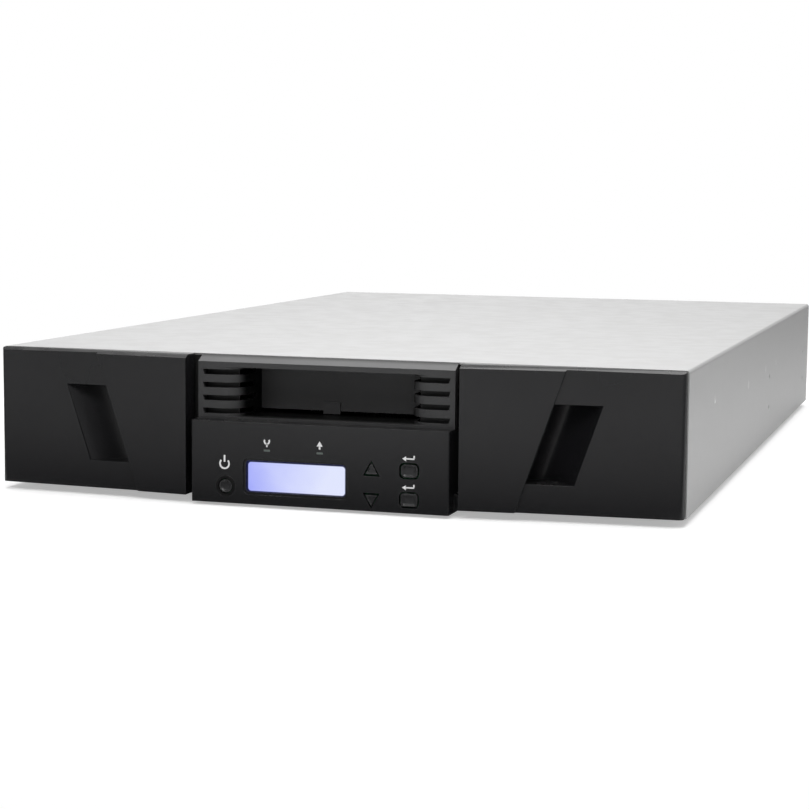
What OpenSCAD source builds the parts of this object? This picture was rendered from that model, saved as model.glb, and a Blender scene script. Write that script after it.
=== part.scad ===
// Rack-height tape library: two pull-out magazines either side of a control panel and a mail slot,
// a turning picker behind them, and a tape drive, a power supply and a controller at the rear.
// The front faces -Y, +Z is up and the origin is on the floor under the middle of the whole box.

/* [Chassis] */
// Width over the cover's sides
chassis_w = 447; // [445:0.5:452]
// Height of the sheet metal body, without its feet
chassis_h = 88; // [87.5:0.5:90]
// Depth of the sheet metal body, front edge to rear edge
chassis_d = 691; // [685:1:720]
// Thickness of the steel sheet
sheet_t = 1.2; // [1:0.1:1.3]
// Outside radius of the cover's long bends
bend_r = 2.2; // [1.8:0.1:3]
// Slip gap between sheets that nest in each other
sheet_gap = 0.2; // [0.1:0.05:0.3]
// How far the rear panel stands inside the cover's rear edge
rear_set = 4; // [3.5:0.5:6]
// Height of the rubber feet
foot_h = 5; // [4:0.5:8]
// Radius of the rubber feet
foot_r = 9; // [7:0.5:12]
// Distance of a foot's centre from the side and the ends of the body
foot_in = 45; // [40:1:60]

/* [Side screws and rail holes] */
// Depth of each side screw behind the front edge
screw_at = [105.7, 271.4, 374.1, 441.4];
// Height of each side screw above the body's underside
screw_up = [60.8, 53.8, 56.4, 56.1];
// Radius of a side screw's countersunk head
screw_head_r = 3; // [2.5:0.1:3.5]
// Radius of a screw's shank
screw_r = 1.5; // [1.25:0.05:1.6]
// Length of a side screw
screw_l = 3.4; // [3:0.1:3.6]
// Radius of a rail screw hole
rail_hole_r = 2.1; // [1.6:0.1:2.6]
// Depth of the first rail hole behind the front edge
rail_from = 400; // [390:1:420]
// Spacing of the rail holes along the body
rail_pitch_y = 250; // [200:1:260]
// Height of the lower rail holes
rail_low_z = 24; // [18:1:28]
// Spacing of the rail holes up the body
rail_pitch_z = 24; // [20:1:28]

/* [Control panel] */
// Reach of the control panel in front of the body
panel_reach = 20; // [19:0.5:22]
// Width of the control panel and of the mail slot frame over it
centre_w = 167; // [165:1:168]
// Height of the control panel's top edge
panel_top = 48; // [47.5:0.5:49]
// Drop of the control panel's skirt below the body
panel_drop = 3; // [2:0.5:3.5]
// Wall of the moulded front parts
mould_t = 2.5; // [2:0.1:2.8]
// Radius of the control panel's upright front edges
panel_edge_r = 1.6; // [1:0.1:2.2]

/* [Display] */
// Left edge of the display opening
lcd_left = -47.4; // [-49:0.1:-46]
// Width of the display opening
lcd_w = 65.4; // [62:0.1:67]
// Bottom edge of the display opening
lcd_low = 4.6; // [4:0.1:6]
// Height of the display opening
lcd_h = 19.7; // [18:0.1:21]
// Corner radius of the display opening
lcd_r = 2.5; // [1.5:0.1:4]
// Rim of the display window that lies behind the panel
lcd_rim = 2; // [1.5:0.1:2.5]
// Thickness of the display window
lens_t = 1; // [0.8:0.1:1.2]
// Thickness of the display module
lcd_t = 4.5; // [4:0.1:5]

/* [Buttons] */
// Travel of every button
key_travel = 1; // [0.6:0.1:1.1]
// Gap round a button in its hole
key_gap = 0.35; // [0.3:0.05:0.5]
// Rim that holds a button behind the panel
key_rim = 1.4; // [1:0.1:1.6]
// Place of the power button across the panel
power_x = -60.4; // [-62:0.1:-59.5]
// Place of the power button up the panel
power_z = 7.6; // [6.5:0.1:9]
// Radius of the power button
power_r = 4.5; // [4:0.1:4.8]
// Outside radius of the ring round the power button
ring_r = 6.5; // [6.2:0.1:7]
// Place of the arrow keys across the panel
arrow_x = 34.6; // [34:0.1:36]
// Width of an arrow key
arrow_w = 9.8; // [8:0.1:11]
// Height of an arrow key
arrow_h = 8.8; // [7:0.1:10]
// Base line of the up arrow key
up_base = 18.9; // [18.5:0.1:20]
// Base line of the down arrow key
down_base = 8; // [7.5:0.1:9]
// Place of the square keys across the panel
pad_x = 58.6; // [57:0.1:60]
// Width of a square key
pad_w = 12; // [10:0.1:13]
// Height of a square key
pad_h = 9.4; // [8:0.1:10]
// Centre of the upper square key
escape_z = 22.9; // [22:0.1:24]
// Centre of the lower square key
enter_z = 5.2; // [4.8:0.1:6]
// Corner radius of a square key
pad_r = 3; // [2:0.1:3.8]
// Places of the two status lamps across the panel
lamp_at = [-33, 1.5];
// Height of the status lamps
lamp_z = 31; // [30:0.1:33]
// Width of a status lamp
lamp_w = 4; // [3:0.1:5]
// Height of a status lamp
lamp_h = 1.2; // [0.8:0.1:1.6]

/* [Mail slot] */
// Reach of the mail slot frame in front of the body
mail_reach = 8; // [7:0.5:9]
// Drop of the mail slot's ceiling below the body's top
mail_drop = 7.5; // [7:0.1:8]
// Drop of the slanted strip along the frame's top
mail_brow = 4.3; // [3:0.1:5]
// Thickness of the mail slot's floor
mail_floor = 1.5; // [1.2:0.1:2]
// Clear width between the guiding wings
mail_w = 108; // [107.5:0.1:110]
// Radius of the wings' flared mouth
flare_r = 14; // [12:0.5:16]
// Wall of the wings
wing_t = 2.2; // [1.8:0.1:2.6]
// Depth of the wings behind the body's front edge
wing_d = 30; // [29:0.5:34]
// Height of the bars between the vent slots
vent_bar = 4.75; // [4:0.05:5]
// Number of vent slots on each side
vents = 4; // [2:1:4]
// Thickness of the door behind the mail slot
door_t = 1.8; // [1.4:0.1:2]
// Radius of the door's hinge barrel
door_barrel_r = 2.1; // [2:0.1:2.3]
// Radius of the door's hinge pin
door_pin_r = 1; // [0.8:0.1:1.2]

/* [Magazine fronts] */
// Gap between the control panel and a magazine front
bezel_gap = 5; // [4.5:0.5:6]
// Gap between a magazine front and the body behind it
bezel_back = 1.5; // [1:0.1:1.8]
// Distance of a magazine front's outer end inside the body's side
bezel_inset = 1; // [0.5:0.1:1.5]
// Reach of a magazine front at its inner end
bezel_in_reach = 17; // [16:0.5:18]
// Reach of a magazine front at its outer end
bezel_out_reach = 5; // [4.8:0.1:6]
// Radius of the upright outer edge
bezel_edge_r = 3.2; // [2:0.1:3.3]
// Drop of the bright strip along a magazine front's top
bezel_brow = 2; // [1.5:0.1:3]
// Foot of the slanted crease, from the middle of the body
crease_foot = 122.6; // [120:0.1:125]
// Lean of the crease from upright
crease_tilt = 18.8; // [17:0.1:20]
// Step of the face at the crease
crease_step = 2; // [1:0.1:3]
// Bottom of the finger pocket
pocket_low = 17.5; // [16:0.5:20]
// Top of the finger pocket
pocket_high = 66; // [62:0.5:68]
// Width of the finger pocket, square to the crease
pocket_w = 27.6; // [25:0.1:30]
// Depth of the finger pocket's floor behind the body's front edge
pocket_floor = 9; // [8:0.5:10]
// Reach of the pocket under the crease
pocket_under = 8; // [6:0.5:9]

/* [Magazines] */
// Width of a tape cartridge
tape_w = 105.4; // [105:0.1:106]
// Gap between a cartridge and the next one in its row
tape_gap = 8; // [7:0.1:9]
// Height of a tape cartridge
tape_h = 21.5; // [21:0.1:21.6]
// Cartridges in a row of the magazine
tape_rows = 4; // [2:1:4]
// Room behind the magazines for their motors, the power supply and the controller
rear_room = 165.8; // [160:0.1:170]
// Clearance between a cartridge and each wall of its tray
tape_side = 4.7; // [4.2:0.1:5.2]
// Wall of a magazine's tray
tray_t = 1.6; // [1.4:0.1:1.8]
// Height of the tray's underside above the body's underside
tray_z = 6; // [5.8:0.1:6.1]
// Room for the gear and the hand wheel between a tray and the body's side
side_room = 6.4; // [6:0.1:7]
// Gap between a tray and the wall of its bay
bay_gap = 3; // [2:0.1:3.5]
// Depth of the first belt shaft behind the body's front edge
shaft_y = 80; // [78:0.5:82]
// Room between a tray's top edge and the cover
tray_roof = 5.3; // [5:0.1:6]
// Height of a tray's walls above the upper row of cartridges
tray_lip = 2; // [1:0.1:2.5]
// Thickness of the belt
belt_t = 1.5; // [1.2:0.1:1.8]
// Width of a belt
belt_w = 10; // [8:0.5:12]
// Distance of a belt from the tray's wall
belt_in = 8; // [6:0.5:12]
// Radius of a belt shaft
shaft_r = 3; // [2.5:0.1:3.5]
// Radius of the hand wheel on the front shaft
hand_wheel_r = 17; // [15:0.5:19]
// Travel of a magazine on its runners
mag_travel = 450; // [400:5:460]
// Gap between moving parts and what guides them
run_gap = 0.3; // [0.3:0.02:0.34]
// Clearance of a shaft in its bore, on the radius
bore_gap = 0.05; // [0.02:0.01:0.08]

/* [Gears] */
// Module of the belt gears
belt_module = 1.25; // [1.2:0.01:1.27]
// Teeth of the gear on a magazine's rear shaft
belt_teeth = 32; // [32:1:33]
// Teeth of the gear on a magazine motor
motor_teeth = 18; // [17:1:18]
// Module of the turntable gears
turn_module = 1.5; // [1.4:0.02:1.52]
// Teeth of the turntable's gear
turn_teeth = 72; // [70:2:74]
// Teeth of the turntable motor's pinion
pinion_teeth = 18; // [17:1:19]
// Radius of a magazine motor
motor_r = 12; // [10:0.5:13]
// Length of a magazine motor
motor_l = 32; // [26:1:36]
// Play between meshing teeth, measured along the pitch circle
gear_play = 0.16; // [0.12:0.01:0.24]

/* [Picker] */
// Radius of the turntable's deck
deck_r = 75; // [74.5:0.1:75.5]
// Half of the picker base's width
base_half = 62; // [50:1:64]
// Radius of the turntable's motor
turn_motor_r = 17; // [14:0.5:18]
// Thickness of the turntable's deck
deck_t = 3; // [2.5:0.1:3.3]
// Wall of the turntable's guides
guide_t = 2.5; // [2:0.1:2.6]
// Length of the turntable's guides
guide_l = 98; // [90:1:99]
// Radius of the post that the turntable turns on
post_r = 6; // [5:0.1:8]
// Travel of the picker's carriage, each way
pick_travel = 34; // [30:1:35]
// Width of the picker's carriage
pick_w = 24; // [20:1:28]

/* [Drive] */
// Width of the tape drive
drive_w = 146; // [145:0.5:147]
// Height of the tape drive
drive_h = 41.5; // [41:0.1:42]
// Length of the tape drive
drive_l = 210; // [200:1:212]
// Distance of the tape drive behind the shaft of the picker's motor
drive_gap = 19.5; // [18:0.1:21]
// Depth of the drive's mouth behind its faceplate
mouth_d = 60; // [50:1:70]

/* [Rear] */
// Width of the power supply and of the controller board
psu_w = 108; // [104:1:110]
// Room between the magazine motors and what stands behind them
psu_room = 14.5; // [10:0.5:20]
// Room over the power supply, up to the body's top
psu_roof = 6; // [5:0.5:8]
// Distance of the power supply and of the controller board from the body's side
psu_side = 6; // [5:0.5:8]
// Height of the posts under the controller board
card_post = 9.8; // [8:0.1:12]
// Side of the square fan
fan_w = 60; // [58:0.5:62]
// Thickness of the fan
fan_t = 25; // [20:0.5:26]
// Blades of the fan
blades = 7; // [5:1:9]

/* [Hidden] */
$fn = 64;

// A cut runs this far past the face that it leaves
past = 1;
// Width of the flanges on bent sheets
flange = 10;
// Longer than any piece, for cuts that run right through
far = 900;

// Body, in a frame with y = 0 at its front edge and z = 0 at its underside
front_y = panel_reach - (chassis_d + panel_reach) / 2;
roof_z = chassis_h - sheet_t;
pan_out = chassis_w / 2 - sheet_t - sheet_gap;
pan_in = pan_out - sheet_t;
frame_y = 1;
pan_y = frame_y + sheet_t;
rear_y = chassis_d - rear_set - sheet_t;
frame_top = roof_z - sheet_gap;

// Magazine fronts
bezel_in_x = centre_w / 2 + bezel_gap;
bezel_out_x = chassis_w / 2 - bezel_inset;
face_slope = (bezel_in_reach - bezel_out_reach) / (bezel_out_x - bezel_in_x);
crease_mid = crease_foot + tan(crease_tilt) * (pocket_low + pocket_high) / 2;
outer_slope = face_slope - crease_step / (bezel_out_x - crease_mid);
pocket_wall = 2;
pocket_back = pocket_floor + pocket_wall;

// Magazines
tray_y = pocket_back;
tray_floor = tray_z + tray_t;
tray_top = roof_z - tray_roof;
belt_r = (tray_top - tray_lip - tray_floor - 2 * tape_h - 3 * run_gap) / 2;
belt_z = tray_floor + run_gap + tape_h + run_gap + belt_r;
tray_w = tape_w + 2 * (tape_side + tray_t);
shaft_end = pan_in - side_room;
tray_x = shaft_end - tray_w;
full_rows = 4;
tape_pitch = (rear_y - rear_room - shaft_y) / full_rows;
tape_l = tape_pitch - tape_gap;
belt_run = tape_rows * tape_pitch;
tray_end = shaft_y + belt_run + belt_r + 2;
tray_mid = tray_x + tray_w / 2;
wheel_x = shaft_end + run_gap;
wheel_t = 3.4;
bay_wall_x = tray_x - bay_gap - sheet_t;
bay_out = wheel_x + wheel_t + past;
bay_low = tray_z - tray_t;
bay_high = tray_top + tray_t;

// Magazine motors
motor_y = shaft_y + belt_run + belt_module * (belt_teeth + motor_teeth) / 2;
motor_face = shaft_end - 2;
motor_shaft_r = 1.5;
spigot = 8;

// Picker: its deck carries a cartridge at the height of a magazine's upper row
tape_z = belt_z + belt_r + run_gap;
turn_y = shaft_y + tape_pitch / 2;
deck_z = tape_z - 5.3 - deck_t;
gear_z = deck_z - 10;
gear_t = 5;
pinion_y = turn_y + turn_module * (turn_teeth + pinion_teeth) / 2;
hub_z = deck_z - 30;

// Mail slot
mail_low = panel_top + mail_floor;
mail_top = chassis_h - mail_drop;
vent_edge = 1.6;
vent_h = (mail_top - mail_low - 2 * vent_edge - (vents - 1) * vent_bar) / vents;
vent_pitch = vent_h + vent_bar;
vent_low = mail_low + vent_edge + vent_h / 2;
hinge_y = wing_d - door_barrel_r - 0.9;
hinge_z = mail_top - door_barrel_r;
door_y = hinge_y - door_barrel_r;
wing_slot = mail_w / 2 + wing_t + 3;

// Control panel
panel_back = frame_y;
skin_y = -panel_reach + mould_t;
lens_y = skin_y + lens_t;
board_y = lens_y + lcd_t;
board_t = 1.6;
switch_t = 2;
switch_half = 3;
plug_t = 5;
key_face = 0.1;
key_skirt = 1.2;

// Drive and rear
drive_z = tape_z - 16;
sled_x = drive_w / 2 + 2;
drive_y = pinion_y + drive_gap;
sled_y = drive_y + 5;
shelf_end = rear_y - fan_t - 2 * flange;
psu_x = -pan_in + psu_side;
psu_y = motor_y + motor_r + psu_room;
card_z = sheet_t + card_post;
fan_x = -sled_x + 6 + fan_w / 2;
fan_z = chassis_h / 2;
card_x = -psu_x - psu_w;

// Body frame: front edge and underside of the sheet metal
module in_body() {
    translate([0, front_y, foot_h]) children();
}

// Extrudes a shape drawn as (x, z) along y
module along_y(from, length) {
    translate([0, from + length, 0]) rotate([90, 0, 0]) linear_extrude(length) children();
}

// Extrudes a shape drawn as (y, z) along x
module along_x(from, length) {
    translate([from, 0, 0]) rotate([90, 0, 90]) linear_extrude(length) children();
}

// Draws its shape on the right, and mirrored on the left
module both_sides() {
    children();
    mirror([1, 0, 0]) children();
}

// Draws on the right, or mirrored on the left
module on_side(left) {
    if (left) mirror([1, 0, 0]) children();
    else children();
}

// Box from its low corner to its high corner
module block(low, high) {
    translate(low) cube(high - low);
}

// Rectangle with round corners, from its low corner
module round_rect(w, h, r) {
    translate([r, 0]) square([w - 2 * r, h]);
    translate([0, r]) square([w, h - 2 * r]);
    for (x = [r, w - r], y = [r, h - r]) translate([x, y]) circle(r);
}

// Rod along x, y or z
module rod_x(r, from, to) {
    translate([from, 0, 0]) rotate([0, 90, 0]) cylinder(r = r, h = to - from);
}

module rod_y(r, from, to) {
    translate([0, from, 0]) rotate([-90, 0, 0]) cylinder(r = r, h = to - from);
}

// Outline of an involute spur gear with a tooth on the +x axis
function involute(base, angle) =
    base * [cos(angle) + angle * PI / 180 * sin(angle), sin(angle) - angle * PI / 180 * cos(angle)];
function turned(p, a) = [p.x * cos(a) - p.y * sin(a), p.x * sin(a) + p.y * cos(a)];
function flank_angle(base, r) = sqrt(pow(r / base, 2) - 1) * 180 / PI;
function flank_turn(base, r) = flank_angle(base, r) - atan(flank_angle(base, r) * PI / 180);

module gear_shape(module_mm, teeth) {
    pitch_r = module_mm * teeth / 2;
    base_r = pitch_r * cos(20);
    tip_r = pitch_r + 0.9 * module_mm;
    root_r = pitch_r - 1.25 * module_mm;
    half_tooth = 90 / teeth - gear_play / pitch_r * 90 / PI + flank_turn(base_r, pitch_r);
    steps = 5;
    tip_angle = flank_angle(base_r, tip_r);
    flank = [for (i = [0:steps]) turned(involute(base_r, tip_angle * i / steps), -half_tooth)];
    circle(root_r);
    for (i = [0:teeth - 1]) rotate(360 * i / teeth)
        polygon(concat(
            [turned([root_r - module_mm / 2, 0], -half_tooth)],
            flank,
            [for (i = [steps:-1:0]) [flank[i].x, -flank[i].y]],
            [turned([root_r - module_mm / 2, 0], half_tooth)]));
}

/* ---- Sheet metal body ---- */

module cover_shape(inset) {
    w = chassis_w - 2 * inset;
    h = chassis_h - inset;
    r = bend_r - inset;
    translate([-w / 2, -r - past * inset]) round_rect(w, h + r + past * inset, r);
}

module side_holes(r, x_from, x_to) {
    for (y = [rail_from, rail_from + rail_pitch_y], z = [rail_low_z, rail_low_z + rail_pitch_z])
        translate([0, y, z]) rod_x(r, x_from, x_to);
}

module screw_places() {
    for (i = [0:len(screw_at) - 1])
        translate([chassis_w / 2 - key_face, screw_at[i], screw_up[i]]) rotate([0, -90, 0]) children();
}

module side_screw() {
    cylinder(r1 = screw_head_r, r2 = screw_r, h = sheet_t - key_face);
    cylinder(r = screw_r, h = screw_l);
}

module top_cover() {
    color("gainsboro") in_body() difference() {
        along_y(0, chassis_d) difference() {
            cover_shape(0);
            cover_shape(sheet_t);
            translate([-chassis_w, -chassis_h]) square([2 * chassis_w, chassis_h]);
        }
        both_sides() {
            side_holes(rail_hole_r, pan_out, chassis_w);
            screw_places() translate([0, 0, -past]) cylinder(r = screw_head_r, h = past);
            screw_places() side_screw();
        }
    }
}

module base_pan() {
    color("silver") in_body() difference() {
        union() {
            block([-pan_out, pan_y, 0], [pan_out, rear_y, sheet_t]);
            both_sides() block([pan_in, pan_y, 0], [pan_out, rear_y, roof_z - bend_r]);
        }
        both_sides() {
            side_holes(rail_hole_r, pan_in - past, chassis_w / 2);
            screw_places() side_screw();
        }
    }
}

module front_frame() {
    color("dimgray") in_body() difference() {
        block([-pan_out, frame_y, 0], [pan_out, frame_y + sheet_t, frame_top]);
        both_sides() block([bay_wall_x + sheet_t, -past, bay_low], [bay_out, far, bay_high]);
        block([-wing_slot, -past, mail_low - past - mail_floor], [wing_slot, far, mail_top + 3.5]);
        block([lcd_left, -past, lcd_low], [lcd_left + lcd_w, far, lcd_low + lcd_h]);
    }
}

module rubber_feet() {
    color([0.12, 0.12, 0.13]) in_body()
        for (x = [-1, 1], y = [foot_in, chassis_d - foot_in])
            translate([x * (chassis_w / 2 - foot_in), y, -foot_h]) difference() {
                cylinder(r1 = foot_r - 1, r2 = foot_r, h = foot_h);
                translate([0, 0, -past]) cylinder(r = screw_r * 2, h = past + 1.5);
            }
}

module bay_wall() {
    color("silver") in_body() difference() {
        union() {
            block([bay_wall_x, pan_y, sheet_t], [bay_wall_x + sheet_t, tray_end, frame_top]);
            block([bay_wall_x - flange, pan_y, sheet_t], [bay_wall_x + past / 2, tray_end, 2 * sheet_t]);
            block([bay_wall_x - flange, pan_y, frame_top - sheet_t], [bay_wall_x + past / 2, tray_end, frame_top]);
        }
        block([0, turn_y - tape_l / 2 - bay_gap, tape_z - bay_gap], [far, turn_y + tape_l / 2 + bay_gap, tray_top]);
        for (i = [2:tape_rows - 1])
            block([bay_wall_x - past, turn_y + i * tape_pitch - tape_l / 3, tape_h],
                [far, turn_y + i * tape_pitch + tape_l / 3, tray_top - flange]);
    }
}

module bay_wall_left() {
    mirror([1, 0, 0]) bay_wall();
}

module bay_wall_right() {
    bay_wall();
}

module magazine_runners() {
    runner_w = 8;
    color([0.85, 0.85, 0.83]) in_body() both_sides()
        for (x = [tray_x + tray_t, shaft_end - tray_t - runner_w])
            block([x, pan_y + past, sheet_t], [x + runner_w, tray_end, tray_z - run_gap]);
}

/* ---- Mail slot ---- */

// Plan of one guiding wing: a flat front strip, a round mouth and a straight side
module wing_plan() {
    mouth = [mail_w / 2 + flare_r, flare_r - mail_reach];
    translate([mouth.x, -mail_reach]) square([centre_w / 2 - mouth.x, wing_t]);
    translate([centre_w / 2 - mould_t, -mail_reach]) square([mould_t, mail_reach + frame_y]);
    translate([mail_w / 2, mouth.y]) square([wing_t, wing_d - mouth.y]);
    intersection() {
        translate([mail_w / 2, -mail_reach]) square([flare_r, flare_r]);
        translate(mouth) difference() {
            circle(flare_r);
            circle(flare_r - wing_t);
        }
    }
}

module vent_cut(z) {
    intersection() {
        block([mail_w / 2 - past, -far, z - vent_h / 2], [far, wing_d - 14, z + vent_h / 2]);
        translate([centre_w / 2 - mould_t - past, 0, z]) rotate([0, crease_tilt, 0])
            block([-far, -far, -far], [0, far, far]);
    }
}

module mail_slot_frame() {
    inner = mail_w / 2 + wing_t;
    color([0.13, 0.13, 0.14]) in_body() difference() {
        union() {
            both_sides() translate([0, 0, mail_low]) linear_extrude(mail_top - mail_low) wing_plan();
            block([-centre_w / 2, -mail_reach, panel_top], [centre_w / 2, frame_y, mail_low]);
            block([-inner, -mail_reach, panel_top], [inner, door_y - run_gap, mail_low]);
            block([-inner, -mail_reach, mail_top], [inner, door_y - run_gap, mail_top + 1.5]);
            along_x(-centre_w / 2, centre_w) polygon([
                [-mail_reach, mail_top], [-mail_reach, chassis_h - mail_brow],
                [-2 * sheet_gap, chassis_h - 2 * sheet_gap], [-2 * sheet_gap, frame_top],
                [frame_y, frame_top], [frame_y, mail_top]]);
        }
        both_sides() for (i = [0:vents - 1]) vent_cut(vent_low + i * vent_pitch);
        translate([0, hinge_y, hinge_z]) rod_x(door_pin_r, -far, far);
    }
}

module door_pin() {
    reach = mail_w / 2 + wing_t;
    color("silver") in_body() translate([0, hinge_y, hinge_z]) rod_x(door_pin_r, -reach, reach);
}

module mail_door() {
    half = mail_w / 2 - run_gap;
    tab_w = 11;
    tab_x = -6;
    door_low = mail_low + 2.5;
    color([0.3, 0.3, 0.31]) in_body() difference() {
        union() {
            block([-half, door_y, door_low], [half, door_y + door_t, hinge_z]);
            translate([0, hinge_y, hinge_z]) rod_x(door_barrel_r, -half, half);
            block([tab_x - tab_w / 2, door_y - 1.2, mail_low + 2 * run_gap],
                [tab_x + tab_w / 2, door_y + past / 2, mail_low + 8]);
        }
        translate([0, hinge_y, hinge_z]) rod_x(door_pin_r + bore_gap, -far, far);
    }
}

/* ---- Control panel ---- */

// Triangle on its base line, grown by a margin on every side
module arrow_shape(margin) {
    in_r = arrow_w * arrow_h / (arrow_w + 2 * sqrt(pow(arrow_w / 2, 2) + pow(arrow_h, 2)));
    grow = 1 + margin / in_r;
    translate([0, in_r * (1 - grow)])
        polygon([[-arrow_w / 2 * grow, 0], [arrow_w / 2 * grow, 0], [0, arrow_h * grow]]);
}

module up_shape(margin) {
    translate([arrow_x, up_base]) arrow_shape(margin);
}

module down_shape(margin) {
    translate([arrow_x, down_base]) mirror([0, 1]) arrow_shape(margin);
}

module pad_shape(z, margin) {
    w = pad_w + 2 * margin;
    h = pad_h + 2 * margin;
    translate([pad_x - w / 2, z - h / 2]) round_rect(w, h, pad_r + margin);
}

module lcd_shape(margin) {
    translate([lcd_left - margin, lcd_low - margin])
        round_rect(lcd_w + 2 * margin, lcd_h + 2 * margin, lcd_r + margin);
}

// Stem that carries a key's push to the switch on the board behind it
module key_stem(x, z) {
    translate([x, 0, z]) rod_y(1.5, skin_y + run_gap, board_y - switch_t - key_travel - run_gap);
}

module key_cap() {
    along_y(key_face - panel_reach, mould_t - key_face + run_gap) children();
}

// The rim stays above the panel's bottom wall
module key_rim() {
    along_y(skin_y + run_gap, key_skirt) intersection() {
        children();
        translate([-far, mould_t - panel_drop + key_gap]) square(2 * far);
    }
}

module control_panel() {
    boss_x = centre_w / 2 - mould_t - 5;
    color([0.15, 0.15, 0.17]) in_body() difference() {
        union() {
            translate([0, 0, -panel_drop]) linear_extrude(panel_top + panel_drop) difference() {
                translate([-centre_w / 2, -panel_reach])
                    round_rect(centre_w, panel_reach + panel_back + panel_edge_r, panel_edge_r);
                translate([-chassis_w, panel_back]) square(2 * chassis_w);
            }
            both_sides() along_y(-mail_reach, mail_reach + panel_back) polygon([
                [centre_w / 2 - past, -panel_drop], [centre_w / 2, -panel_drop],
                [bezel_in_x - run_gap, 0], [bezel_in_x - run_gap, 2 * panel_drop],
                [centre_w / 2 - past, 3 * panel_drop]]);
        }
        difference() {
            block([mould_t - centre_w / 2, skin_y, mould_t - panel_drop],
                [centre_w / 2 - mould_t, panel_back + past, panel_top - mould_t]);
            for (x = [-boss_x, boss_x], z = [3, panel_top - mould_t - 4])
                translate([x, 0, z]) rod_y(3, skin_y, board_y);
        }
        along_y(-panel_reach - past, far) lcd_shape(0);
        along_y(-panel_reach - past, past + 1.2) lcd_shape(1.6);
        along_y(-panel_reach - past, far) up_shape(key_gap);
        along_y(-panel_reach - past, far) down_shape(key_gap);
        along_y(-panel_reach - past, far) pad_shape(escape_z, key_gap);
        along_y(-panel_reach - past, far) pad_shape(enter_z, key_gap);
        translate([power_x, 0, power_z]) rod_y(ring_r, -panel_reach - past, far);
        for (x = lamp_at) block([x - lamp_w / 2, -far, lamp_z - lamp_h / 2],
            [x + lamp_w / 2, far, lamp_z + lamp_h / 2]);
    }
}

module power_ring() {
    color([0.05, 0.05, 0.05]) in_body() translate([power_x, 0, power_z]) difference() {
        rod_y(ring_r, -panel_reach, skin_y);
        rod_y(power_r + key_gap, -panel_reach - past, skin_y + past);
    }
}

module status_lamps() {
    color([0.3, 0.5, 0.35]) in_body() for (x = lamp_at)
        block([x - lamp_w / 2, -panel_reach, lamp_z - lamp_h / 2], [x + lamp_w / 2, board_y, lamp_z + lamp_h / 2]);
}

module lcd_window() {
    color([0.62, 0.66, 0.9]) in_body() along_y(skin_y, lens_t) lcd_shape(lcd_rim);
}

module lcd_module() {
    color([0.35, 0.4, 0.6]) in_body() along_y(lens_y, lcd_t) lcd_shape(lcd_rim);
}

module front_board() {
    half = centre_w / 2 - mould_t - 1;
    places = [[power_x, power_z], [arrow_x, up_base + arrow_h / 3], [arrow_x, down_base - arrow_h / 3],
        [pad_x, escape_z], [pad_x, enter_z]];
    color([0.1, 0.35, 0.2]) in_body() {
        block([-half, board_y, mould_t - panel_drop + 0.5], [half, board_y + board_t, panel_top - mould_t - 0.5]);
        for (p = places)
            block([p.x - switch_half, board_y - switch_t, p.y - switch_half],
                [p.x + switch_half, board_y + past / 2, p.y + switch_half]);
        block([-flange, board_y, lcd_low], [flange, board_y + board_t + plug_t, lcd_low + flange]);
    }
}

module power_button() {
    color([0.2, 0.2, 0.21]) in_body() {
        translate([power_x, 0, power_z]) {
            rod_y(power_r, key_face - panel_reach, skin_y + run_gap);
            rod_y(power_r + key_rim, skin_y + run_gap, skin_y + run_gap + key_skirt);
        }
        key_stem(power_x, power_z);
    }
}

module up_button() {
    color([0.22, 0.22, 0.23]) in_body() {
        key_cap() up_shape(0);
        key_rim() up_shape(key_rim);
        key_stem(arrow_x, up_base + arrow_h / 3);
    }
}

module down_button() {
    color([0.22, 0.22, 0.23]) in_body() {
        key_cap() down_shape(0);
        key_rim() down_shape(key_rim);
        key_stem(arrow_x, down_base - arrow_h / 3);
    }
}

module escape_button() {
    color([0.22, 0.22, 0.23]) in_body() {
        key_cap() pad_shape(escape_z, 0);
        key_rim() pad_shape(escape_z, key_rim);
        key_stem(pad_x, escape_z);
    }
}

module enter_button() {
    color([0.22, 0.22, 0.23]) in_body() {
        key_cap() pad_shape(enter_z, 0);
        key_rim() pad_shape(enter_z, key_rim);
        key_stem(pad_x, enter_z);
    }
}

/* ---- Magazine fronts ---- */

function inner_face(x) = -bezel_in_reach + (x - bezel_in_x) * face_slope;
function outer_face(x) = -bezel_out_reach - (bezel_out_x - x) * outer_slope;

module outer_plan() {
    r = bezel_edge_r;
    corner = [bezel_out_x - r, r - bezel_out_reach];
    polygon(concat(
        [[bezel_in_x, -bezel_back], [bezel_in_x, outer_face(bezel_in_x)], [corner.x, outer_face(corner.x)]],
        [for (a = [-75:15:0]) corner + r * [cos(a), sin(a)]],
        [[bezel_out_x, -bezel_back]]));
}

module inner_plan() {
    edge = bezel_out_x - 12;
    polygon([[bezel_in_x, -bezel_back], [bezel_in_x, inner_face(bezel_in_x)],
        [edge, inner_face(edge)], [edge, -bezel_back]]);
}

// Frame of the slanted crease: x is square to it, z runs up along it
module at_crease() {
    translate([crease_foot, 0, 0]) rotate([0, crease_tilt, 0]) children();
}

module pocket_block(y_from, y_to) {
    intersection() {
        at_crease() block([-pocket_under - pocket_wall, y_from, -far], [pocket_w + pocket_wall, y_to, far]);
        block([0, -far, pocket_low - pocket_wall], [far, far, pocket_high + pocket_wall]);
    }
}

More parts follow.
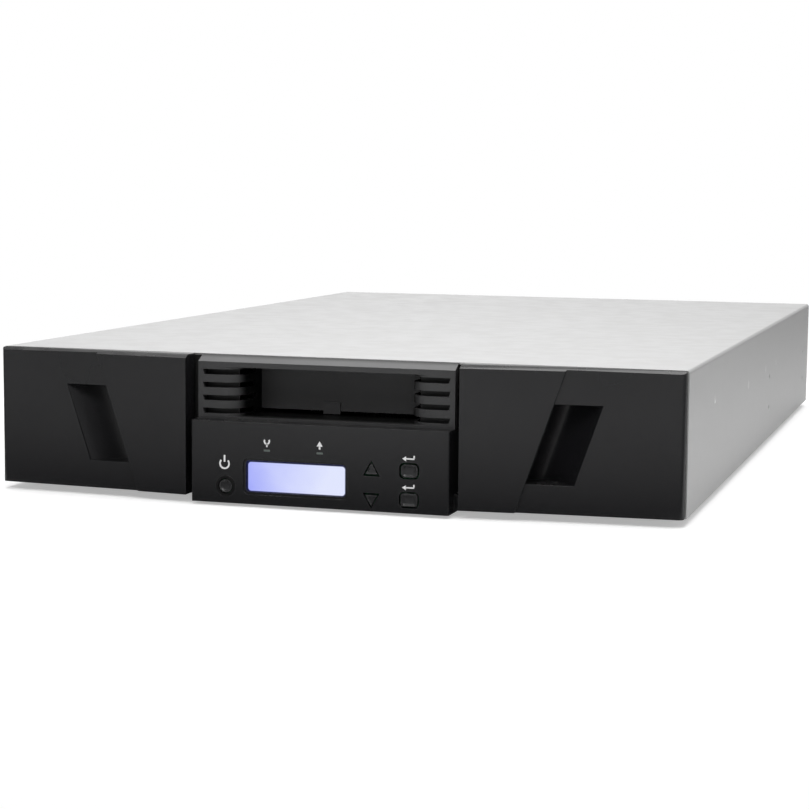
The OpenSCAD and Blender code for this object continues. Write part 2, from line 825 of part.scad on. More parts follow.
// Hollow of the finger pocket: its floor climbs from the deep end under the crease to the face
module pocket_hollow() {
    edge_y = outer_face(crease_mid + pocket_w);
    lip_y = inner_face(crease_mid) + 5;
    root = 5;
    steps = 10;
    intersection() {
        at_crease() translate([0, 0, -chassis_h]) linear_extrude(3 * chassis_h) polygon(concat(
            [[0, -chassis_h], [pocket_w, -chassis_h]],
            [for (i = [0:steps]) let (t = i / steps)
                [pocket_w - (pocket_w - root) * t, edge_y + 1 + (pocket_floor - edge_y - 1) * sin(90 * t)]],
            [[-pocket_under, pocket_floor], [-pocket_under, lip_y], [0, lip_y]]));
        block([0, -far, pocket_low], [far, far, pocket_high]);
    }
}

module bezel() {
    deep = outer_face(bezel_in_x) + mould_t;
    thin_x = bezel_out_x - 14;
    rib_x = [tray_x + tray_t, shaft_end - flange];
    color([0.14, 0.14, 0.15]) in_body() difference() {
        union() {
            difference() {
                union() {
                    linear_extrude(chassis_h) outer_plan();
                    intersection() {
                        linear_extrude(chassis_h) inner_plan();
                        at_crease() block([-far, -far, -far], [0, far, far]);
                    }
                }
                difference() {
                    translate([0, 0, mould_t]) linear_extrude(chassis_h - 2 * mould_t - bezel_brow) polygon([
                        [bezel_in_x + mould_t, past], [bezel_in_x + mould_t, deep],
                        [thin_x, outer_face(thin_x) + mould_t], [thin_x, past]]);
                    pocket_block(-far, far);
                }
            }
            pocket_block(-bezel_back - past, pocket_back);
            for (x = rib_x)
                block([x, outer_face(x) + mould_t - past / 2, pocket_low], [x + mould_t, tray_y, pocket_high]);
        }
        pocket_hollow();
        translate([bezel_in_x, -bezel_in_reach, chassis_h]) rotate([0, 0, atan(face_slope)])
            along_x(-bezel_in_x, chassis_w) polygon([
                [-bezel_in_reach, -5 * bezel_brow], [bezel_in_reach / 4, 0],
                [bezel_in_reach / 4, past], [-bezel_in_reach, past]]);
    }
}

module bezel_left() {
    mirror([1, 0, 0]) bezel();
}

module bezel_right() {
    bezel();
}

/* ---- Magazines ---- */

module tray() {
    ends = [shaft_y, shaft_y + belt_run];
    low_row = tray_floor + run_gap;
    color([0.2, 0.2, 0.22]) in_body() difference() {
        block([tray_x, tray_y, tray_z], [shaft_end, tray_end, tray_top]);
        block([tray_x + tray_t, tray_y + tray_t, tray_floor], [shaft_end - tray_t, tray_end - tray_t, far]);
        for (y = ends) translate([0, y, belt_z]) rod_x(shaft_r + bore_gap, 0, far);
        for (i = [0:tape_rows - 1]) {
            y = shaft_y + (i + 0.5) * tape_pitch;
            for (z = [low_row, tape_z])
                block([shaft_end - tray_t - past, y - tape_l / 3, z + run_gap + 2 * tray_t],
                    [far, y + tape_l / 3, z + tape_h - 2 * tray_t]);
            block([0, y - tape_l / 3, low_row + 2 * tray_t],
                [tray_x + tray_t + past, y + tape_l / 3, low_row + tape_h - 2 * tray_t]);
        }
        block([0, turn_y - tape_l / 2 - tray_t, tape_z - tray_t],
            [tray_x + tray_t + past, turn_y + tape_l / 2 + tray_t, far]);
    }
}

module cartridge() {
    difference() {
        translate([-tape_w / 2, -tape_l / 2, 0]) linear_extrude(tape_h) round_rect(tape_w, tape_l, 2);
        translate([0, 0, -past]) cylinder(r = 13, h = past + 1);
        block([-tape_w / 2 + 14, -tape_l / 2 - past, 3.5], [tape_w / 2 - 14, -tape_l / 2 + 0.6, tape_h - 3.5]);
        block([-tape_w / 2 + 10, -tape_l / 2 + 12, tape_h - 0.6], [tape_w / 2 - 10, tape_l / 2 - 30, tape_h + past]);
    }
}

module cartridges() {
    color([0.25, 0.28, 0.36]) in_body()
        for (i = [0:tape_rows - 1], z = [tray_floor + run_gap, tape_z])
            translate([tray_mid, shaft_y + (i + 0.5) * tape_pitch, z]) cartridge();
}

// Racetrack outline of the belt, drawn as (y, z)
module belt_path(r) {
    for (y = [shaft_y, shaft_y + belt_run]) translate([y, belt_z]) circle(r);
    translate([shaft_y, belt_z - r]) square([belt_run, 2 * r]);
}

function belt_starts() = [tray_x + belt_in, shaft_end - belt_in - belt_w];

module belts() {
    color([0.1, 0.1, 0.1]) in_body() for (x = belt_starts()) along_x(x, belt_w) difference() {
        belt_path(belt_r);
        belt_path(belt_r - belt_t);
    }
}

module belt_shaft() {
    rod_x(shaft_r, tray_x - run_gap, wheel_x + wheel_t);
    for (x = belt_starts()) rod_x(belt_r - belt_t - run_gap, x, x + belt_w);
}

module front_shaft() {
    notches = 24;
    color([0.75, 0.75, 0.72]) in_body() translate([0, shaft_y, belt_z]) {
        belt_shaft();
        difference() {
            rod_x(hand_wheel_r, wheel_x, wheel_x + wheel_t);
            for (i = [0:notches - 1]) rotate([360 / notches * i, 0, 0])
                translate([0, hand_wheel_r + 0.4, 0]) rod_x(1.2, wheel_x - past, wheel_x + wheel_t + past);
        }
    }
}

module rear_shaft() {
    color([0.75, 0.75, 0.72]) in_body() translate([0, shaft_y + belt_run, belt_z]) {
        belt_shaft();
        along_x(wheel_x, wheel_t) gear_shape(belt_module, belt_teeth);
    }
}

module motor_gear() {
    color("goldenrod") in_body() translate([0, motor_y, belt_z]) {
        rod_x(motor_shaft_r, motor_face - spigot, wheel_x + wheel_t);
        along_x(wheel_x, wheel_t) rotate(180 + 180 / motor_teeth) gear_shape(belt_module, motor_teeth);
    }
}

module magazine_motors() {
    plate_t = 1.5;
    color([0.6, 0.6, 0.6]) in_body() both_sides() difference() {
        union() {
            translate([0, motor_y, belt_z]) rod_x(motor_r, motor_face - motor_l, motor_face);
            block([motor_face, motor_y - motor_r + 1, sheet_t],
                [motor_face + plate_t, motor_y + motor_r, belt_z + motor_r]);
            block([motor_face - motor_r, motor_y - motor_r + 1, sheet_t],
                [motor_face + plate_t, motor_y + motor_r, 2 * sheet_t]);
        }
        translate([0, motor_y, belt_z]) rod_x(motor_shaft_r + bore_gap, motor_face - spigot - past, far);
    }
}

module tray_left() { mirror([1, 0, 0]) tray(); }
module tray_right() { tray(); }
module cartridges_left() { mirror([1, 0, 0]) cartridges(); }
module cartridges_right() { cartridges(); }
module belts_left() { mirror([1, 0, 0]) belts(); }
module belts_right() { belts(); }
module front_shaft_left() { mirror([1, 0, 0]) front_shaft(); }
module front_shaft_right() { front_shaft(); }
module rear_shaft_left() { mirror([1, 0, 0]) rear_shaft(); }
module rear_shaft_right() { rear_shaft(); }
module motor_gear_left() { mirror([1, 0, 0]) motor_gear(); }
module motor_gear_right() { motor_gear(); }

/* ---- Picker ---- */

base_t = 3;
base_top = sheet_t + base_t;
turn_shaft_r = 2;
turn_motor_top = gear_z - 5;

module robot_base() {
    color("silver") in_body() {
        block([-base_half, turn_y - base_half, sheet_t], [base_half, pinion_y + turn_motor_r + base_t, base_top]);
        translate([0, turn_y, 0]) {
            translate([0, 0, sheet_t]) cylinder(r = post_r, h = deck_z - run_gap - sheet_t);
            translate([0, 0, sheet_t]) cylinder(r = post_r + 4, h = hub_z - run_gap - sheet_t);
        }
    }
}

module turntable() {
    rail_x = tape_w / 2 + 1;
    deck_top = deck_z + deck_t;
    color([0.3, 0.3, 0.32]) in_body() translate([0, turn_y, 0]) difference() {
        union() {
            translate([0, 0, deck_z]) cylinder(r = deck_r, h = deck_t);
            translate([0, 0, hub_z]) cylinder(r = post_r + 5, h = deck_z - hub_z);
            translate([0, 0, gear_z]) rotate(90) linear_extrude(gear_t) gear_shape(turn_module, turn_teeth);
            both_sides() block([rail_x, -guide_l / 2, deck_z], [rail_x + guide_t, guide_l / 2, tape_z + tape_h + 1]);
            both_sides() block([pick_w / 2 + run_gap, -guide_l / 2, deck_z], [rail_x, guide_l / 2, tape_z - run_gap]);
        }
        translate([0, 0, hub_z - past]) cylinder(r = post_r + bore_gap, h = deck_z - hub_z + past);
    }
}

module picker_carriage() {
    color([0.75, 0.55, 0.2]) in_body() translate([0, turn_y, 0]) {
        block([-pick_w / 2, -10, deck_z + deck_t + run_gap], [pick_w / 2, 10, tape_z - run_gap]);
        block([-4, -10, deck_z + deck_t + run_gap], [4, -7.5, tape_z + 8]);
    }
}

module turn_motor() {
    color([0.6, 0.6, 0.6]) in_body() translate([0, pinion_y, 0]) difference() {
        translate([0, 0, base_top]) cylinder(r = turn_motor_r, h = turn_motor_top - base_top);
        translate([0, 0, turn_motor_top - 12]) cylinder(r = turn_shaft_r + bore_gap, h = 12 + past);
    }
}

module turn_pinion() {
    color("goldenrod") in_body() translate([0, pinion_y, 0]) {
        translate([0, 0, turn_motor_top - 11]) cylinder(r = turn_shaft_r, h = gear_z + gear_t - turn_motor_top + 11);
        translate([0, 0, gear_z - 0.5]) linear_extrude(gear_t + 1)
            rotate(180 / pinion_teeth - 90) gear_shape(turn_module, pinion_teeth);
    }
}

/* ---- Tape drive ---- */

mouth_x = tape_w / 2 + 1.5;
mouth_low = tape_z - 0.8;
mouth_high = tape_z + tape_h + 0.8;
case_y = drive_y + 2;
flap_r = 1.8;
flap_pin_r = 1;
flap_y = case_y + flap_r + 0.5;
flap_z = mouth_high - flap_r - 2 * run_gap;

module mouth() {
    block([-mouth_x, drive_y - past, mouth_low], [mouth_x, case_y + mouth_d, mouth_high]);
}

module tape_drive() {
    color([0.72, 0.73, 0.74]) in_body() difference() {
        block([-drive_w / 2, case_y, drive_z], [drive_w / 2, drive_y + drive_l, drive_z + drive_h]);
        mouth();
        translate([0, flap_y, flap_z]) rod_x(flap_pin_r + bore_gap, -mouth_x - 3, mouth_x + 3);
    }
}

module drive_faceplate() {
    color([0.1, 0.1, 0.11]) in_body() difference() {
        block([-drive_w / 2 - 1, drive_y, drive_z - 0.5], [drive_w / 2 + 1, case_y, drive_z + drive_h + 0.5]);
        mouth();
    }
}

module drive_door() {
    half = mouth_x - 2 * run_gap;
    color([0.18, 0.18, 0.19]) in_body() {
        block([-half, flap_y - flap_r, mouth_low + run_gap], [half, flap_y - flap_r + 1.5, flap_z]);
        translate([0, flap_y, flap_z]) {
            rod_x(flap_r, -half, half);
            rod_x(flap_pin_r, -mouth_x - 2.5, mouth_x + 2.5);
        }
    }
}

module drive_sled() {
    color("silver") in_body() {
        both_sides() {
            block([sled_x, sled_y, sheet_t], [sled_x + sheet_t, rear_y, drive_z + drive_h]);
            block([sled_x - flange, sled_y, sheet_t], [sled_x + past / 2, rear_y - fan_t - past, 2 * sheet_t]);
        }
        block([-sled_x - past / 2, sled_y, drive_z - sheet_t], [sled_x + past / 2, shelf_end, drive_z]);
    }
}

board_z = drive_z + 4;
port_x = [14, 42];
port_w = 24;
port_h = 9;

module sled_board() {
    y0 = drive_y + drive_l + 10;
    color([0.1, 0.35, 0.2]) in_body() {
        block([8, y0, board_z], [sled_x - 3, rear_y, board_z + board_t]);
        translate([20, (y0 + rear_y) / 2 - chip, board_z]) cube([2 * chip, 2 * chip, board_t + 3]);
        for (x = [14, sled_x - 9], y = [y0 + 6, rear_y - fan_t - 30])
            translate([x, y, drive_z]) cylinder(r = 2.5, h = board_z - drive_z + past / 2);
    }
}

module data_ports() {
    color([0.7, 0.7, 0.7]) in_body() for (x = port_x) difference() {
        block([x, rear_y - 18, board_z + board_t], [x + port_w, rear_y + sheet_t + 2, board_z + board_t + port_h]);
        block([x + 1.5, rear_y - 8, board_z + board_t + 1.5],
            [x + port_w - 1.5, far, board_z + board_t + port_h - 1.5]);
    }
}

/* ---- Power supply, fan and controller ---- */

inlet_x = psu_x + 16;
inlet_z = card_z + 7.5 * sheet_t;
inlet_w = 27;
inlet_h = 20;
rocker_x = inlet_x + inlet_w + 20;
rocker_w = 11;
rocker_h = 16;
rocker_z = inlet_z + inlet_h / 2;
rocker_y = rear_y - 4;
rocker_pin_r = 1;
inlet_skin = 2;
psu_screw = 14;

// Body of the inlet and of the switch, as they pass through the panel
module inlet_body(from, to) {
    block([inlet_x, from, inlet_z], [inlet_x + inlet_w, to, inlet_z + inlet_h]);
    block([rocker_x - 2, from, rocker_z - rocker_h / 2 - 3],
        [rocker_x + rocker_w + 2, to, rocker_z + rocker_h / 2 + 3]);
}

module power_inlet() {
    face = rear_y + sheet_t;
    pin_x = inlet_x + inlet_w / 2;
    color([0.08, 0.08, 0.08]) in_body() {
        difference() {
            union() {
                inlet_body(rear_y - 18, face);
                block([inlet_x - 5, face, inlet_z - 3],
                    [rocker_x + rocker_w + 5, face + inlet_skin, inlet_z + inlet_h + 3]);
            }
            block([inlet_x + 1.5, rear_y - 14, inlet_z + 2], [inlet_x + inlet_w - 1.5, far, inlet_z + inlet_h - 2]);
            block([rocker_x - 0.4, rear_y - 15, rocker_z - rocker_h / 2 - 1],
                [rocker_x + rocker_w + 0.4, far, rocker_z + rocker_h / 2 + 1]);
            translate([0, rocker_y, rocker_z])
                rod_x(rocker_pin_r + bore_gap, rocker_x - 1.6, rocker_x + rocker_w + 1.6);
        }
        for (dx = [-7, 0, 7])
            block([pin_x + dx - 1, rear_y - 15, inlet_z + inlet_h / 2 - 2],
                [pin_x + dx + 1, rear_y - 2, inlet_z + inlet_h / 2 + 2]);
    }
}

module power_switch() {
    half = rocker_h / 2 - 1.4;
    color([0.12, 0.12, 0.12]) in_body() translate([0, rocker_y, rocker_z]) {
        along_x(rocker_x, rocker_w) polygon([[-4, 1 - half], [4, -half], [5, 0], [half, half], [-4, half - 1]]);
        rod_x(rocker_pin_r, rocker_x - 1.2, rocker_x + rocker_w + 1.2);
    }
}

module fan_screw_places() {
    reach = fan_w / 2 - 4;
    for (x = [-reach, reach], z = [-reach, reach]) translate([fan_x + x, 0, fan_z + z]) children();
}

module psu_screw_places() {
    for (x = [psu_x + 6, psu_x + psu_w - 6], z = [sheet_t + 8, chassis_h - psu_screw]) translate([x, 0, z]) children();
}

module rear_screw_holes() {
    fan_screw_places() rod_y(screw_r, rear_y - 6, rear_y + sheet_t + past);
    psu_screw_places() rod_y(screw_r, rear_y - 6, rear_y + sheet_t + past);
}

module cover_screws() {
    color([0.8, 0.8, 0.8]) in_body() {
        both_sides() screw_places() side_screw();
        for (k = [0, 1]) {
            if (k == 0) fan_screw_places() rear_screw();
            else psu_screw_places() rear_screw();
        }
    }
}

module rear_screw() {
    rod_y(screw_r, rear_y - 6, rear_y + sheet_t + past / 2);
    rod_y(2.8, rear_y + sheet_t, rear_y + sheet_t + 1.6);
}

module power_supply() {
    low = [psu_x, psu_y, sheet_t];
    high = [psu_x + psu_w, rear_y, chassis_h - psu_roof];
    t = [sheet_t, sheet_t, sheet_t];
    color([0.7, 0.71, 0.72]) in_body() difference() {
        union() {
            difference() {
                block(low, high);
                block(low + t, high - t);
            }
            psu_screw_places() rod_y(screw_r + 2, rear_y - 8, rear_y - sheet_t / 2);
        }
        for (i = [0:8]) block([psu_x + 12 + i * 10, psu_y - past, psu_screw],
            [psu_x + 17 + i * 10, psu_y + 2 * past, chassis_h - psu_screw]);
        inlet_body(rear_y - 18 - past, rear_y + past);
        rear_screw_holes();
    }
}

module fan_frame() {
    color([0.1, 0.1, 0.1]) in_body() translate([fan_x, 0, fan_z]) difference() {
        union() {
            difference() {
                block([-fan_w / 2, rear_y - fan_t, -fan_w / 2], [fan_w / 2, rear_y, fan_w / 2]);
                rod_y(fan_w / 2 - 2, rear_y - fan_t - past, rear_y + past);
            }
            rod_y(10, rear_y - 4, rear_y);
            for (a = [45:90:315]) rotate([0, a, 0]) block([5, rear_y - 3, -1.5], [fan_w / 2 - 1, rear_y, 1.5]);
        }
        rod_y(turn_shaft_r + bore_gap, rear_y - 5, rear_y + past);
        translate([-fan_x, 0, -fan_z]) rear_screw_holes();
    }
}

module fan_rotor() {
    blade_w = fan_t - 12;
    color([0.15, 0.15, 0.15]) in_body() translate([fan_x, 0, fan_z]) {
        rod_y(10, rear_y - fan_t + 2, rear_y - 5);
        rod_y(turn_shaft_r, rear_y - 6, rear_y - 1);
        for (i = [0:blades - 1]) rotate([0, 360 / blades * i, 0])
            translate([0, rear_y - fan_t / 2 - 3, 0]) rotate([40, 0, 0])
                block([8, -blade_w / 2, -0.6], [fan_w / 2 - 4, blade_w / 2, 0.6]);
    }
}

module fan_guard() {
    wire = 1.2;
    face = rear_y + sheet_t;
    color([0.75, 0.75, 0.76]) in_body() translate([fan_x, 0, fan_z]) difference() {
        union() {
            for (r = [9:6:fan_w / 2 - 2]) difference() {
                rod_y(r + wire / 2, face, face + wire);
                rod_y(r - wire / 2, face - past, face + wire + past);
            }
            for (a = [45:90:315]) rotate([0, a, 0])
                block([8.5, face, -wire / 2], [fan_w / 2 + 3, face + wire, wire / 2]);
        }
    }
}

module controller_board() {
    color([0.1, 0.35, 0.2]) in_body() {
        block([card_x, psu_y, card_z], [card_x + psu_w, rear_y, card_z + board_t]);
        for (k = [0, 1]) translate([card_x + 2 * flange + k * 40, (psu_y + rear_y) / 2, card_z])
            translate([0, -chip / 2, 0]) cube([chip, chip, board_t + 3]);
        translate([card_x + flange, psu_y + past, card_z]) cube([3 * flange, flange / 2, board_t + flange]);
    }
}

module board_posts() {
    color("gold") in_body() for (x = [card_x + 6, card_x + psu_w - 6], y = [psu_y + 6, rear_y - 8])
        translate([x, y, sheet_t]) cylinder(r = 3, h = card_post);
}

chip = 14;
net_x = card_x + 20;
usb_x = card_x + 52;

module network_port() {
    z = card_z + board_t;
    out_y = rear_y + sheet_t + 1.5;
    color([0.7, 0.7, 0.7]) in_body() {
        difference() {
            block([net_x, rear_y - 20, z], [net_x + 16, out_y, z + 13.5]);
            block([net_x + 2, rear_y - 12, z + 2], [net_x + 14, far, z + 10.5]);
        }
        difference() {
            block([usb_x, rear_y - 16, z], [usb_x + 15, out_y, z + 7.5]);
            block([usb_x + 1, rear_y - 12, z + 1], [usb_x + 14, far, z + 6.5]);
        }
    }
}

module grille_slot(x, height) {
    block([x, 0, chassis_h - psu_screw - height], [x + 5, far, chassis_h - psu_screw]);
}

module rear_panel() {
    z = card_z + board_t;
    color("silver") in_body() difference() {
        block([-pan_out, rear_y, 0], [pan_out, rear_y + sheet_t, frame_top]);
        inlet_body(rear_y - past, rear_y + sheet_t + past);
        for (x = port_x) block([x, 0, board_z + board_t], [x + port_w, far, board_z + board_t + port_h]);
        block([net_x, 0, z], [net_x + 16, far, z + 13.5]);
        block([usb_x, 0, z], [usb_x + 15, far, z + 7.5]);
        translate([fan_x, 0, fan_z]) rod_y(fan_w / 2 - 2, 0, far);
        for (i = [0:8], x = [card_x + 12 + i * 10]) grille_slot(x, 26);
        for (i = [0:6], x = [psu_x + 20 + i * 10]) grille_slot(x, 16);
        rear_screw_holes();
    }
}

top_cover();
base_pan();
front_frame();
rear_panel();
cover_screws();
rubber_feet();
bay_wall_left();
bay_wall_right();
magazine_runners();
mail_slot_frame();
door_pin();
control_panel();
lcd_window();
lcd_module();
front_board();
status_lamps();
power_ring();
robot_base();
turn_motor();
magazine_motors();
drive_sled();
tape_drive();
drive_faceplate();
sled_board();
data_ports();
power_supply();
power_inlet();
fan_frame();
fan_guard();
controller_board();
board_posts();
network_port();
bezel_left();
bezel_right();
tray_left();
tray_right();
cartridges_left();
cartridges_right();
belts_left();
belts_right();
front_shaft_left();
front_shaft_right();
rear_shaft_left();
rear_shaft_right();
motor_gear_left();
motor_gear_right();
turntable();
turn_pinion();
picker_carriage();
mail_door();
power_button();
up_button();
down_button();
escape_button();
enter_button();
power_switch();
fan_rotor();
drive_door();
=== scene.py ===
from math import cos, sin, radians, pi
import bpy
import bmesh
from mathutils import Matrix, Vector


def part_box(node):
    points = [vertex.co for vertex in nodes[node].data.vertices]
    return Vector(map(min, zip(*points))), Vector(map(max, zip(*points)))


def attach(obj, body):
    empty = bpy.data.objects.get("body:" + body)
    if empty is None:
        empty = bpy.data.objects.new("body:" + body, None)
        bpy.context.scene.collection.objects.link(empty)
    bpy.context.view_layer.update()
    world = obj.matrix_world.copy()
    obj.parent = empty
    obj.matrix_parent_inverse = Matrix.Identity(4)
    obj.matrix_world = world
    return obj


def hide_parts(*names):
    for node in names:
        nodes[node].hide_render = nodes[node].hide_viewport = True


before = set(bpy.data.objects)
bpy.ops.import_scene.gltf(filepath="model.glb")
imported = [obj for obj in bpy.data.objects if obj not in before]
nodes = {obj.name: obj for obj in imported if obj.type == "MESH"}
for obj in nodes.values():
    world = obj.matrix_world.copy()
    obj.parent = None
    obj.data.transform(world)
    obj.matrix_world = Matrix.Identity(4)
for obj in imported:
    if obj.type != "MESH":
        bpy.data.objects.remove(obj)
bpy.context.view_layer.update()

# ---- Camera ----
# Three-quarter view from the right of the front, a little above the top cover.
# A long lens keeps the body's far end almost as large as its near end.
turn, tilt, roll = 0.29685, 0.11224, 0.0092975
look = Vector((-sin(turn) * cos(tilt), cos(turn) * cos(tilt), -sin(tilt)))
across = Vector((cos(turn), sin(turn), 0))
upward = across.cross(look)
lens = bpy.data.cameras.new("camera")
lens.sensor_width = 36
lens.lens = 88.56
camera = bpy.data.objects.new("camera", lens)
camera.matrix_world = Matrix.LocRotScale(
    Vector((0.402795, -1.491499, 0.202170)),
    Matrix((across * cos(roll) + upward * sin(roll),
            upward * cos(roll) - across * sin(roll), -look)).transposed().to_quaternion(),
    None)
bpy.context.scene.collection.objects.link(camera)
bpy.context.scene.camera = camera
bpy.context.scene.view_settings.view_transform = "Standard"


# ---- Floor, backdrop and lamps ----
# A pale floor under a white surround, with one large soft lamp overhead,
# a long weak one in front above the panel, and the surround's own even light.
# In reflections the floor is painted dark just in front of the body: painted shade.
def put(tree, kind, values=None, **settings):
    """One shader node with its settings and its input values or links."""
    shader = tree.nodes.new("ShaderNode" + kind)
    for key, value in settings.items():
        setattr(shader, key, value)
    for key, value in (values or {}).items():
        if isinstance(value, bpy.types.NodeSocket):
            tree.links.new(value, shader.inputs[key])
        else:
            shader.inputs[key].default_value = value
    return shader


world = bpy.data.worlds.new("surround")
world.use_nodes = True
tree = world.node_tree
tree.nodes.clear()
rays = put(tree, "LightPath")
behind = put(tree, "VectorMath", {0: put(tree, "TexCoord").outputs["Generated"],
                                  1: (-sin(turn), cos(turn), 0)}, operation="DOT_PRODUCT")
off_centre = put(tree, "Math", {0: behind.outputs["Value"]}, operation="ARCCOSINE")
backdrop = put(tree, "MapRange", {"Value": off_centre.outputs[0], "From Min": 0.0,
                                  "From Max": radians(42), "To Min": 1.7, "To Max": 0.34})
mirrored = put(tree, "Math", {0: rays.outputs["Is Glossy Ray"], 1: rays.outputs["Is Transmission Ray"]},
               operation="MAXIMUM")
level = put(tree, "Mix", {0: mirrored.outputs[0], 2: 0.30, 3: backdrop.outputs[0]})
level = put(tree, "Mix", {0: rays.outputs["Is Camera Ray"], 2: level.outputs[0], 3: 1.0})
surround = put(tree, "Background", {"Color": (1, 1, 1, 1), "Strength": level.outputs[0]})
put(tree, "OutputWorld", {0: surround.outputs[0]})
bpy.context.scene.world = world

shape = bmesh.new()
bmesh.ops.create_grid(shape, x_segments=2, y_segments=2, size=8)
floor_mesh = bpy.data.meshes.new("floor")
shape.to_mesh(floor_mesh)
shape.free()
floor = bpy.data.objects.new("floor", floor_mesh)
bpy.context.scene.collection.objects.link(floor)
floor_paper = bpy.data.materials.new("floor_paper")
floor_paper.use_nodes = True
tree = floor_paper.node_tree
tree.nodes.clear()
rays = put(tree, "LightPath")
place = put(tree, "TexCoord").outputs["Object"]
forward = put(tree, "SeparateXYZ", {0: place}).outputs["Y"]
# Painted shade: as seen in reflections, the floor is near black just in front of the body and brightens a
# metre out, so the lower front faces and the side's lower edge reflect shade.
painted_shade_ahead = put(tree, "MapRange", {"Value": forward, "From Min": -0.36, "From Max": -1.0,
                               "To Min": 0.05, "To Max": 1.1})
beside = put(tree, "MapRange", {"Value": forward, "From Min": -0.37, "From Max": -0.36, "To Max": 0.75})
mirrored = put(tree, "Math", {0: painted_shade_ahead.outputs[0], 1: beside.outputs[0]}, operation="MAXIMUM")
shade = put(tree, "Mix", {0: rays.outputs["Is Glossy Ray"], 2: 1.0, 3: mirrored.outputs[0]})
shade = put(tree, "Math", {0: shade.outputs[0], 1: 0.8}, operation="MULTIPLY")
paper = put(tree, "BsdfDiffuse", {"Color": shade.outputs[0]})
lift = put(tree, "Emission", {"Color": (1, 1, 1, 1), "Strength": put(
    tree, "Math", {0: rays.outputs["Is Camera Ray"], 1: 0.4}, operation="MULTIPLY").outputs[0]})
near = put(tree, "AddShader", {0: paper.outputs[0], 1: lift.outputs[0]})
reach = put(tree, "VectorMath", {0: place}, operation="LENGTH")
away = put(tree, "MapRange", {"Value": reach.outputs["Value"], "From Min": 0.5, "From Max": 0.95},
           interpolation_type="SMOOTHSTEP")
away = put(tree, "Math", {0: away.outputs[0], 1: rays.outputs["Is Camera Ray"]}, operation="MULTIPLY")
far_off = put(tree, "Emission", {"Color": (1, 1, 1, 1), "Strength": 1.0})
whole = put(tree, "MixShader", {0: away.outputs[0], 1: near.outputs[0], 2: far_off.outputs[0]})
put(tree, "OutputMaterial", {0: whole.outputs[0]})
floor_mesh.materials.append(floor_paper)


def lamp(name, place, aim, width, height, power):
    """A soft rectangular lamp at place, turned towards aim."""
    light = bpy.data.lights.new(name, "AREA")
    light.shape, light.size, light.size_y, light.energy = "RECTANGLE", width, height, power
    stand = bpy.data.objects.new(name, light)
    stand.location = place
    stand.rotation_euler = (Vector(aim) - Vector(place)).to_track_quat("-Z", "Y").to_euler()
    bpy.context.scene.collection.objects.link(stand)


lamp("overhead_lamp", (0.1, 0.1, 1.7), (0.1, 0.1, 0), 2.1, 1.5, 33)
lamp("front_lamp", (0.1, -1.05, 0.72), (0, -0.35, 0.06), 1.3, 0.3, 5)


# ---- Sheet metal body ----
# A folded steel cover over a folded base pan and a rear panel, held by small countersunk screws.
# Bare galvanised sheet with a fine grain, a faint crystal bloom and brighter edges, partly worn and partly a
# painted highlight.
def shader_group(name, inputs, outputs):
    """An empty node group with float or colour inputs and outputs."""
    group = bpy.data.node_groups.new(name, "ShaderNodeTree")
    for way, sockets in (("INPUT", inputs), ("OUTPUT", outputs)):
        for label, kind in sockets:
            group.interface.new_socket(label, in_out=way, socket_type="NodeSocket" + kind)
    return group, group.nodes.new("NodeGroupInput"), group.nodes.new("NodeGroupOutput")


# Edge mask: pales rounded edges, broken into patches; partly wear and partly a painted highlight along the
# edges.
edge_wear_and_highlight, given, result = shader_group(
    "edge_wear_and_highlight", [("Place", "Vector"), ("Reach", "Float")], [("Mask", "Float")])
rounded = put(edge_wear_and_highlight, "Bevel", {"Radius": given.outputs["Reach"]}, samples=4)
flat = put(edge_wear_and_highlight, "NewGeometry")
turned = put(edge_wear_and_highlight, "VectorMath", {0: rounded.outputs[0], 1: flat.outputs["Normal"]},
             operation="DOT_PRODUCT")
edge = put(edge_wear_and_highlight, "MapRange", {"Value": turned.outputs["Value"], "From Min": 0.99, "From Max": 0.86})
patches = put(edge_wear_and_highlight, "TexNoise", {"Vector": given.outputs["Place"], "Scale": 160.0, "Detail": 4.0})
broken = put(edge_wear_and_highlight, "MapRange", {"Value": patches.outputs[0], "From Min": 0.38, "From Max": 0.62})
worn_and_lit = put(edge_wear_and_highlight, "Math", {0: edge.outputs[0], 1: broken.outputs[0]}, operation="MULTIPLY")
edge_wear_and_highlight.links.new(worn_and_lit.outputs[0], result.inputs["Mask"])

fine_grain, given, result = shader_group(
    "fine_grain", [("Place", "Vector"), ("Scale", "Float")], [("Height", "Float"), ("Tone", "Float")])
small = put(fine_grain, "TexNoise", {"Vector": given.outputs["Place"], "Scale": given.outputs["Scale"],
                                     "Detail": 3.0, "Roughness": 0.6})
broad = put(fine_grain, "TexNoise", {"Vector": given.outputs["Place"], "Scale": 9.0, "Detail": 3.0})
fine_grain.links.new(small.outputs[0], result.inputs["Height"])
fine_grain.links.new(broad.outputs[0], result.inputs["Tone"])

settled_dust, given, result = shader_group(
    "settled_dust", [("Place", "Vector")], [("Mask", "Float")])
facing = put(settled_dust, "SeparateXYZ", {0: put(settled_dust, "NewGeometry").outputs["Normal"]})
up = put(settled_dust, "MapRange", {"Value": facing.outputs["Z"], "From Min": 0.6, "From Max": 1.0})
motes = put(settled_dust, "TexNoise", {"Vector": given.outputs["Place"], "Scale": 70.0, "Detail": 5.0})
thick = put(settled_dust, "MapRange", {"Value": motes.outputs[0], "From Min": 0.4, "From Max": 0.75})
lying = put(settled_dust, "Math", {0: up.outputs[0], 1: thick.outputs[0]}, operation="MULTIPLY")
settled_dust.links.new(lying.outputs[0], result.inputs["Mask"])


def use(tree, group, values):
    """One of the shared groups, placed in a material."""
    placed = tree.nodes.new("ShaderNodeGroup")
    placed.node_tree = group
    for key, value in values.items():
        if isinstance(value, bpy.types.NodeSocket):
            tree.links.new(value, placed.inputs[key])
        else:
            placed.inputs[key].default_value = value
    return placed


